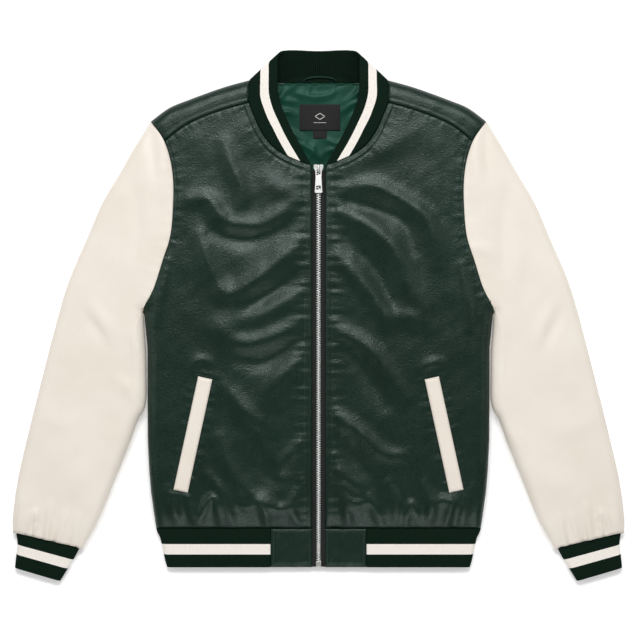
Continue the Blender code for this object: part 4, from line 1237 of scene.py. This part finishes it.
def motif_lines(looks, height):
    """A generic woven motif: one diamond outline over a short line, as thin raised bars."""
    points, faces = [], []
    for corners, half_wide in MOTIF_BARS:
        spots = np.add(LABEL_CENTRE, corners)
        for start, end in zip(spots, spots[1:]):
            run = (end - start) / np.linalg.norm(end - start)
            side = np.array((-run[1], run[0])) * half_wide
            base = len(points)
            for z in (height - 0.2, height + 0.35):
                points += [(*spot, z) for spot in (start - side, end - side, end + side, start + side)]
            faces += [[base, base + 3, base + 2, base + 1], [base + 4, base + 5, base + 6, base + 7]]
            faces += [[base + k, base + (k + 1) % 4, base + 4 + (k + 1) % 4, base + 4 + k] for k in range(4)]
    piece("label_motif", mesh_of("label_motif", points, faces), [looks["motif"]])


def tube(name, spots, radius, sides, look, squash=1.0):
    """A closed tube along points, flattened by squash in height."""
    line = np.asarray(spots, float)
    run = np.gradient(line, axis=0)
    run /= np.linalg.norm(run, axis=1)[:, None]
    side = np.cross(run, (0, 0, 1))
    side /= np.linalg.norm(side, axis=1)[:, None]
    up = np.cross(side, run)
    turns = np.linspace(0, 2 * math.pi, sides, endpoint=False)
    rings = (line[:, None] + radius * np.cos(turns)[None, :, None] * side[:, None]
             + radius * squash * np.sin(turns)[None, :, None] * up[:, None])
    points = rings.reshape(-1, 3)
    faces = quads(len(line), sides, True, True).tolist()
    last = (len(line) - 1) * sides
    faces += [list(range(sides)), list(range(last, last + sides))[::-1]]
    return piece(name, mesh_of(name, points, faces), [look])


def make_neck_piping(looks):
    """A satin piping that covers the seam between the lining and the collar."""
    xs = np.linspace(-PIPING_HALF_SPAN, PIPING_HALF_SPAN, 120)
    zs = PIPING_HEIGHT + 0.3 * wobble(xs, 71)
    path = np.column_stack([xs, NECK_BACK_Y + 0.3 * wobble(xs, 72), zs])
    tube("neck_piping", path, PIPING_RADIUS, 10, looks["satin"])


def make_hanger_loop(looks):
    turns = np.linspace(0, math.pi, 60)
    xs = LABEL_CENTRE[0] - LOOP_HALF_SPAN * np.cos(turns)
    ys = LOOP_FOOT_Y + LOOP_RISE * np.sin(turns) ** 0.7
    zs = np.interp(ys, (LOOP_FOOT_Y, LOOP_FOOT_Y + LOOP_RISE), LOOP_HEIGHTS)
    made = tube("hanger_loop", np.column_stack([xs, ys, zs]), LOOP_RADIUS, 12, looks["cord"],
                0.7)
    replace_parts(made, "hanger_loop")


# ---------------------------------------------------------------- pockets


def welt_z(points):
    offset = mirrored(points) - WELT_CENTRE
    from_end = WELT_SIZE[1] / 2 - np.abs(offset @ WELT_ALONG)
    from_side = WELT_SIZE[0] / 2 - np.abs(offset @ WELT_ACROSS)
    inside = np.minimum(from_end, from_side)
    body = upper(points, body_height(points[..., 1]), CREASE_DEPTH * creased(points, FRONT_CREASES))
    lift = WELT_LIFT - WELT_EDGE_DROP * bell(inside, 1.5)
    return body + lift - 0.4 * bell(inside - WELT_STITCH, 0.8) + 0.1 * ripple(points, 18, 61)


def make_welt(name, side, looks):
    along = np.linspace(-0.5, 0.5, 130)[:, None, None] * WELT_SIZE[1]
    over = np.linspace(-0.5, 0.5, 20)[None, :, None] * WELT_SIZE[0]
    plan = flipped(WELT_CENTRE + along * WELT_ALONG + over * WELT_ACROSS, side)
    made = piece_from_grids(name, [(with_z(plan, welt_z(plan)), False, BELOW)], WELT_WALL,
                            [looks["cream"]])
    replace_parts(made, name)


# ---------------------------------------------------------------- stitches


def stitch_mesh(name, lines, look):
    """Rows of topstitching: one short rounded thread for each stitch, half sunk into the cloth."""
    turns = np.linspace(0, 2 * math.pi, STITCH_SIDES, endpoint=False)
    sides = np.roll(quads(len(STITCH_RINGS), STITCH_SIDES, True, True), 1, axis=1)
    end = np.arange(STITCH_SIDES)
    block = [*sides, end, end[::-1] + (len(STITCH_RINGS) - 1) * STITCH_SIDES]
    points, faces = [], []
    for line in lines:
        whole = length_of(line)
        centres = np.arange(STITCH_PITCH / 2, whole, STITCH_PITCH)
        ahead = at_lengths(line, np.minimum(centres + 1, whole))
        ahead = ahead - at_lengths(line, np.maximum(centres - 1, 0))
        ahead /= np.linalg.norm(ahead, axis=1)[:, None]
        for spot, run in zip(at_lengths(line, centres), ahead):
            side = np.cross(run, (0, 0, 1))
            side /= np.linalg.norm(side)
            up = np.cross(side, run)
            faces += [(corners + len(points)).tolist() for corners in block]
            for place, girth, rise in STITCH_RINGS:
                centre = spot + run * place * STITCH_LENGTH + up * rise * STITCH_RADIUS * 2
                for turn in turns:
                    out = math.cos(turn) * side + math.sin(turn) * up
                    points.append(centre + girth * STITCH_RADIUS * out)
    piece(name, mesh_of(name, points, faces), [look])


def lifted(plan, height_of, lift=0.15):
    return with_z(plan, height_of(plan) + lift)


def make_stitches(looks):
    ys = np.linspace(HEM_SEAM_Y + 2, NECKLINE[0][1] - 10, 260)
    low, high = HEM_BOTTOM_Y + TAB_STITCH, HEM_SEAM_Y - TAB_STITCH
    left, right = PANEL_EDGE_X + TAB_STITCH, TAB_OUTER_X - TAB_STITCH
    square = np.array([*rectangle(left, low, right, high), (left, low)])
    half = np.array(WELT_SIZE) / 2 - WELT_STITCH
    frame_line = spread(np.array([*rectangle(-1, -1, 1, 1), (-1, -1)]) * half, 400)
    welt = WELT_CENTRE + frame_line[:, :1] * WELT_ACROSS + frame_line[:, 1:] * WELT_ALONG
    rows = [
        (np.column_stack([np.full(len(ys), PANEL_EDGE_X + ZIP_STITCH), ys]), front_z),
        *((moved_aside(spread(NECK_LINE, 120, 0.05, 0.98), offset), front_z) for offset in NECK_STITCHES),
        (moved_aside(spread(ARMHOLE_LINE, 160, 0.03, 0.86), -ARMHOLE_STITCH), front_z),
        (moved_aside(spread(YOKE_LINE, 90, 0.02, 0.98), -YOKE_STITCH), yoke_z),
        (spread(square, 160), tab_z),
    ]
    for name, side in SIDES:
        green = [lifted(flipped(line, side), height_of) for line, height_of in rows]
        stitch_mesh(f"stitches_green_{name}", green, looks["green_thread"])
        stitch_mesh(f"stitches_welt_{name}", [lifted(flipped(welt, side), welt_z)], looks["cream_thread"])


# ---------------------------------------------------------------- zip


def zip_height(y):
    """Height of the panels' outer side along the zip."""
    spots = np.column_stack([np.full(np.size(y), PANEL_EDGE_X), np.atleast_1d(y)])
    return upper(spots, body_height(spots[:, 1]), 0.0)


def make_tape(name, side, looks):
    ys = np.linspace(HEM_BOTTOM_Y + 0.5, CHAIN_TOP_Y + 4, 240)
    xs = np.linspace(*TAPE_EDGES, 10)
    plan = flipped(np.stack(np.meshgrid(xs, ys), axis=-1), side)
    z = np.repeat((zip_height(ys) - TAPE_DROP)[:, None], len(xs), axis=1)
    z = z + TAPE_BEAD * bell(np.abs(plan[..., 0]) - TAPE_EDGES[0], TAPE_BEAD_WIDTH)
    made = piece_from_grids(name, [(with_z(plan, z), False, BELOW)], TAPE_WALL, [looks["tape"]])
    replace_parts(made, name)


def tooth_template(direction):
    """One tooth: a rounded block whose head crosses the middle of the chain."""
    reach, head = TOOTH_REACH, -TOOTH_OVERLAP
    half, tall = TOOTH_WIDTH / 2, TOOTH_HEIGHT / 2
    outline = [(head, -half * 0.55), (head + 0.5, -half), (reach - 0.4, -half), (reach, -half * 0.6),
               (reach, half * 0.6), (reach - 0.4, half), (head + 0.5, half), (head, half * 0.55)]
    rings = []
    for z, inset in ((-tall, 0.8), (-tall + 0.4, 1.0), (tall - 0.4, 1.0), (tall, 0.72)):
        rings.append([(direction * (1.1 + (x - 1.1) * inset), y * inset, z) for x, y in outline])
    points = np.array(rings).reshape(-1, 3)
    faces = quads(4, 8, True, direction < 0).tolist()
    caps = [list(range(8))[::-1], list(range(24, 32))]
    return points, faces + ([cap[::-1] for cap in caps] if direction < 0 else caps)


def make_chain(looks):
    points, faces, count = [], [], 0
    low = ZIP_BOX_BOTTOM_Y + ZIP_BOX_LENGTH + 0.6
    for direction, shift in ((1, 0.0), (-1, 0.5)):
        block, block_faces = tooth_template(direction)
        ys = np.arange(low + shift * TOOTH_PITCH, CHAIN_TOP_Y, TOOTH_PITCH)
        for y, z in zip(ys, zip_height(ys) - CHAIN_DROP - TOOTH_HEIGHT / 2):
            points.append(block + (0, y, z))
            faces += [[corner + count for corner in face] for face in block_faces]
            count += len(block)
    made = piece("zip_chain", mesh_of("zip_chain", np.vstack(points), faces), [looks["bright"]])
    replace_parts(made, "zip_chain")


def plate(name, outline, holes, low, high, bevel, look, body=BODY):
    """A flat plate with rounded edges, from an outline and its holes."""
    curve = bpy.data.curves.new(name, "CURVE")
    curve.dimensions = "2D"
    curve.fill_mode = "BOTH"
    curve.extrude = ((high - low) / 2 - bevel) * MM
    curve.bevel_depth = bevel * MM
    curve.bevel_resolution = 2
    curve.offset = -bevel * MM
    for loop in [outline, *holes]:
        spline = curve.splines.new("POLY")
        spline.points.add(len(loop) - 1)
        for point, (x, y) in zip(spline.points, loop):
            point.co = (x * MM, y * MM, 0, 1)
        spline.use_cyclic_u = True
    made = bpy.data.objects.new(name, curve)
    bpy.context.scene.collection.objects.link(made)
    mesh = bpy.data.meshes.new_from_object(made)
    bpy.data.objects.remove(made)
    for vertex in mesh.vertices:
        vertex.co.z += (low + high) / 2 * MM
    mesh.materials.clear()
    return piece(name, mesh, [look], body, METAL_SMOOTH_ANGLE)


def rectangle(left, low, right, high):
    return [(left, low), (right, low), (right, high), (left, high)]


def rounded(corners, radius, steps=5):
    """A closed outline with its corners rounded."""
    result = []
    count = len(corners)
    for k in range(count):
        corner = Vector(corners[k])
        before = (Vector(corners[k - 1]) - corner).normalized()
        after = (Vector(corners[(k + 1) % count]) - corner).normalized()
        start, end = corner + before * radius, corner + after * radius
        for step in range(steps + 1):
            t = step / steps
            result.append(tuple(start * (1 - t) ** 2 + corner * 2 * t * (1 - t) + end * t**2))
    return result


def joined(name, parts):
    """Several meshes of one body joined into one piece."""
    target, *others = parts
    whole = bmesh.new()
    for part in parts:
        whole.from_mesh(part.data)
    whole.to_mesh(target.data)
    whole.free()
    for other in others:
        bpy.data.objects.remove(other)
    target.name = name
    return target


def make_slider(looks):
    top = float(zip_height(SLIDER_BOTTOM_Y)[0]) - SLIDER_SINK
    under = top - SLIDER_THICKNESS
    wide, nickel = SLIDER_HALF_WIDTH, looks["nickel"]
    foot, head = SLIDER_BOTTOM_Y, SLIDER_TOP_Y
    shield = rounded([(-wide * 0.7, foot), (wide * 0.7, foot), (wide, foot + 6), (wide, head), (-wide, head),
                      (-wide, foot + 6)], 1.5)
    neck = rounded([(-1.6, foot + 4), (1.6, foot + 4), (3.0, head - 0.3), (-3.0, head - 0.3)], 0.8)
    parts = [
        plate("slider_top", shield, [], top - SLIDER_PLATE, top, 0.5, nickel),
        plate("slider_bottom", shield, [], under, under + SLIDER_PLATE, 0.5, nickel),
        plate("slider_neck", neck, [], top - 5.0, top - 1.0, 0.2, nickel),
    ]
    for side in (-1, 1):
        flange = [(side * (wide - 1.3), foot + 3), (side * wide, foot + 5), (side * wide, head - 1),
                  (side * (wide - 1.3), head - 1)]
        parts.append(plate(f"slider_side_{side + 1}", flange[::side], [], top - 2.6, top - 1.0, 0.2, nickel))
    arch = []
    for turn in np.linspace(0, math.pi, 19):
        level = np.sign(math.cos(turn)) * abs(math.cos(turn)) ** BRIDGE_SQUARENESS
        rise = BRIDGE_RISE * math.sin(turn) ** BRIDGE_SQUARENESS
        arch.append((0.0, (foot + head) / 2 - BRIDGE_REACH * level, top - 0.6 + rise))
    bridge = tube("slider_bridge", arch, 1.0, 12, nickel)
    for vertex in bridge.data.vertices:
        vertex.co.x *= BRIDGE_BREADTH
    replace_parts(joined("zip_slider", [*parts, bridge]), "zip_slider")


def make_pull(looks):
    low, high = (corner[2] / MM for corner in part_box("zip_pull"))
    top = PULL_AXIS_Y + PULL_THICKNESS / 2
    at_top, at_waist, at_end = PULL_HALF_WIDTHS
    outline = rounded([(-at_top, top), (-at_waist, top - PULL_WAIST), (-at_end, PULL_END_Y),
                       (at_end, PULL_END_Y), (at_waist, top - PULL_WAIST), (at_top, top)], 1.6)
    half, far, near = PULL_SLOT
    slot = rounded(rectangle(-half, top - far, half, top - near), 0.8)
    half, near, far = PULL_HOLE
    hole = rounded(rectangle(-half, PULL_END_Y + near, half, PULL_END_Y + far), 0.7)
    made = plate("zip_pull", outline, [slot, hole], low, high, 0.3, looks["bright"], PULL_BODY)
    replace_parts(made, "zip_pull")


def make_zip_box(looks):
    base = float(zip_height(ZIP_BOX_BOTTOM_Y)[0]) - TAPE_DROP
    half = ZIP_BOX_HALF_WIDTH
    foot, head = ZIP_BOX_BOTTOM_Y, ZIP_BOX_BOTTOM_Y + ZIP_BOX_LENGTH
    left, right, rise, beyond = ZIP_PIN
    box = rounded(rectangle(-half, foot, half, head), 0.9)
    pin = rounded(rectangle(left, foot + rise, right, head + beyond), 0.4)
    made = joined("zip_box", [
        plate("box_body", box, [], base + 0.2, base + 3.0, 0.5, looks["nickel"]),
        plate("box_pin", pin, [], base + 2.2, base + 3.8, 0.3, looks["nickel"]),
    ])
    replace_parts(made, "zip_box")


# ---------------------------------------------------------------- stage


def make_stage():
    bpy.ops.mesh.primitive_plane_add(size=FLOOR_SIZE, location=(0, 0, FLOOR_Z))
    floor = bpy.context.object
    floor.name = "floor"
    look = Look("floor_white", (250, 250, 250), 0.95, Specular_IOR_Level=0.1, Emission_Strength=FLOOR_GLOW)
    look.shader.inputs["Emission Color"].default_value = linear((255, 255, 255))
    floor.data.materials.append(look.material)


def area_light(name, place, target, size, power):
    data = bpy.data.lights.new(name, "AREA")
    data.shape = "RECTANGLE"
    data.size, data.size_y = size
    data.energy = power
    light = bpy.data.objects.new(name, data)
    bpy.context.scene.collection.objects.link(light)
    light.location = place
    light.rotation_euler = (Vector(target) - Vector(place)).to_track_quat("-Z", "Y").to_euler()


def make_lights():
    world = bpy.data.worlds.new("studio")
    bpy.context.scene.world = world
    world.use_nodes = True
    world.node_tree.nodes["Background"].inputs["Color"].default_value = (1, 1, 1, 1)
    world.node_tree.nodes["Background"].inputs["Strength"].default_value = WORLD_STRENGTH
    for name, place, size, power in LIGHTS:
        area_light(name, place, (0, 0, 0), size, power)


def make_camera():
    data = bpy.data.cameras.new("camera")
    data.lens = CAMERA_LENS
    data.sensor_width = SENSOR
    camera = bpy.data.objects.new("camera", data)
    bpy.context.scene.collection.objects.link(camera)
    camera.location = (*CAMERA_SPOT, CAMERA_HEIGHT)
    camera.rotation_euler = (0, 0, 0)
    bpy.context.scene.camera = camera
    bpy.context.scene.view_settings.view_transform = "Standard"


# ---------------------------------------------------------------- assembly


def main():
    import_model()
    make_camera()
    make_lights()
    make_stage()
    looks = make_materials()
    make_back(looks)
    for name, side in SIDES:
        make_front(f"front_{name}", side, looks)
        make_welt(f"welt_{name}", side, looks)
        make_sleeve(name, side, looks)
        make_cuff(f"cuff_{name}", side, looks)
        make_hem_tab(f"hem_tab_{name}", side, looks)
        make_tape(f"zip_tape_{name}", side, looks)
    make_hem_rib(looks)
    make_collar(looks)
    make_neck_lining(looks)
    flat_label("label", LABEL_CENTRE, LABEL_SIZE, LINING_HEIGHT + 2.6, looks)
    flat_label("size_tab", SIZE_TAB_CENTRE, SIZE_TAB_SIZE, LINING_HEIGHT + 2.4, looks)
    motif_lines(looks, LINING_HEIGHT + 2.8)
    make_neck_piping(looks)
    make_hanger_loop(looks)
    make_chain(looks)
    make_zip_box(looks)
    make_slider(looks)
    make_pull(looks)
    make_stitches(looks)


main()
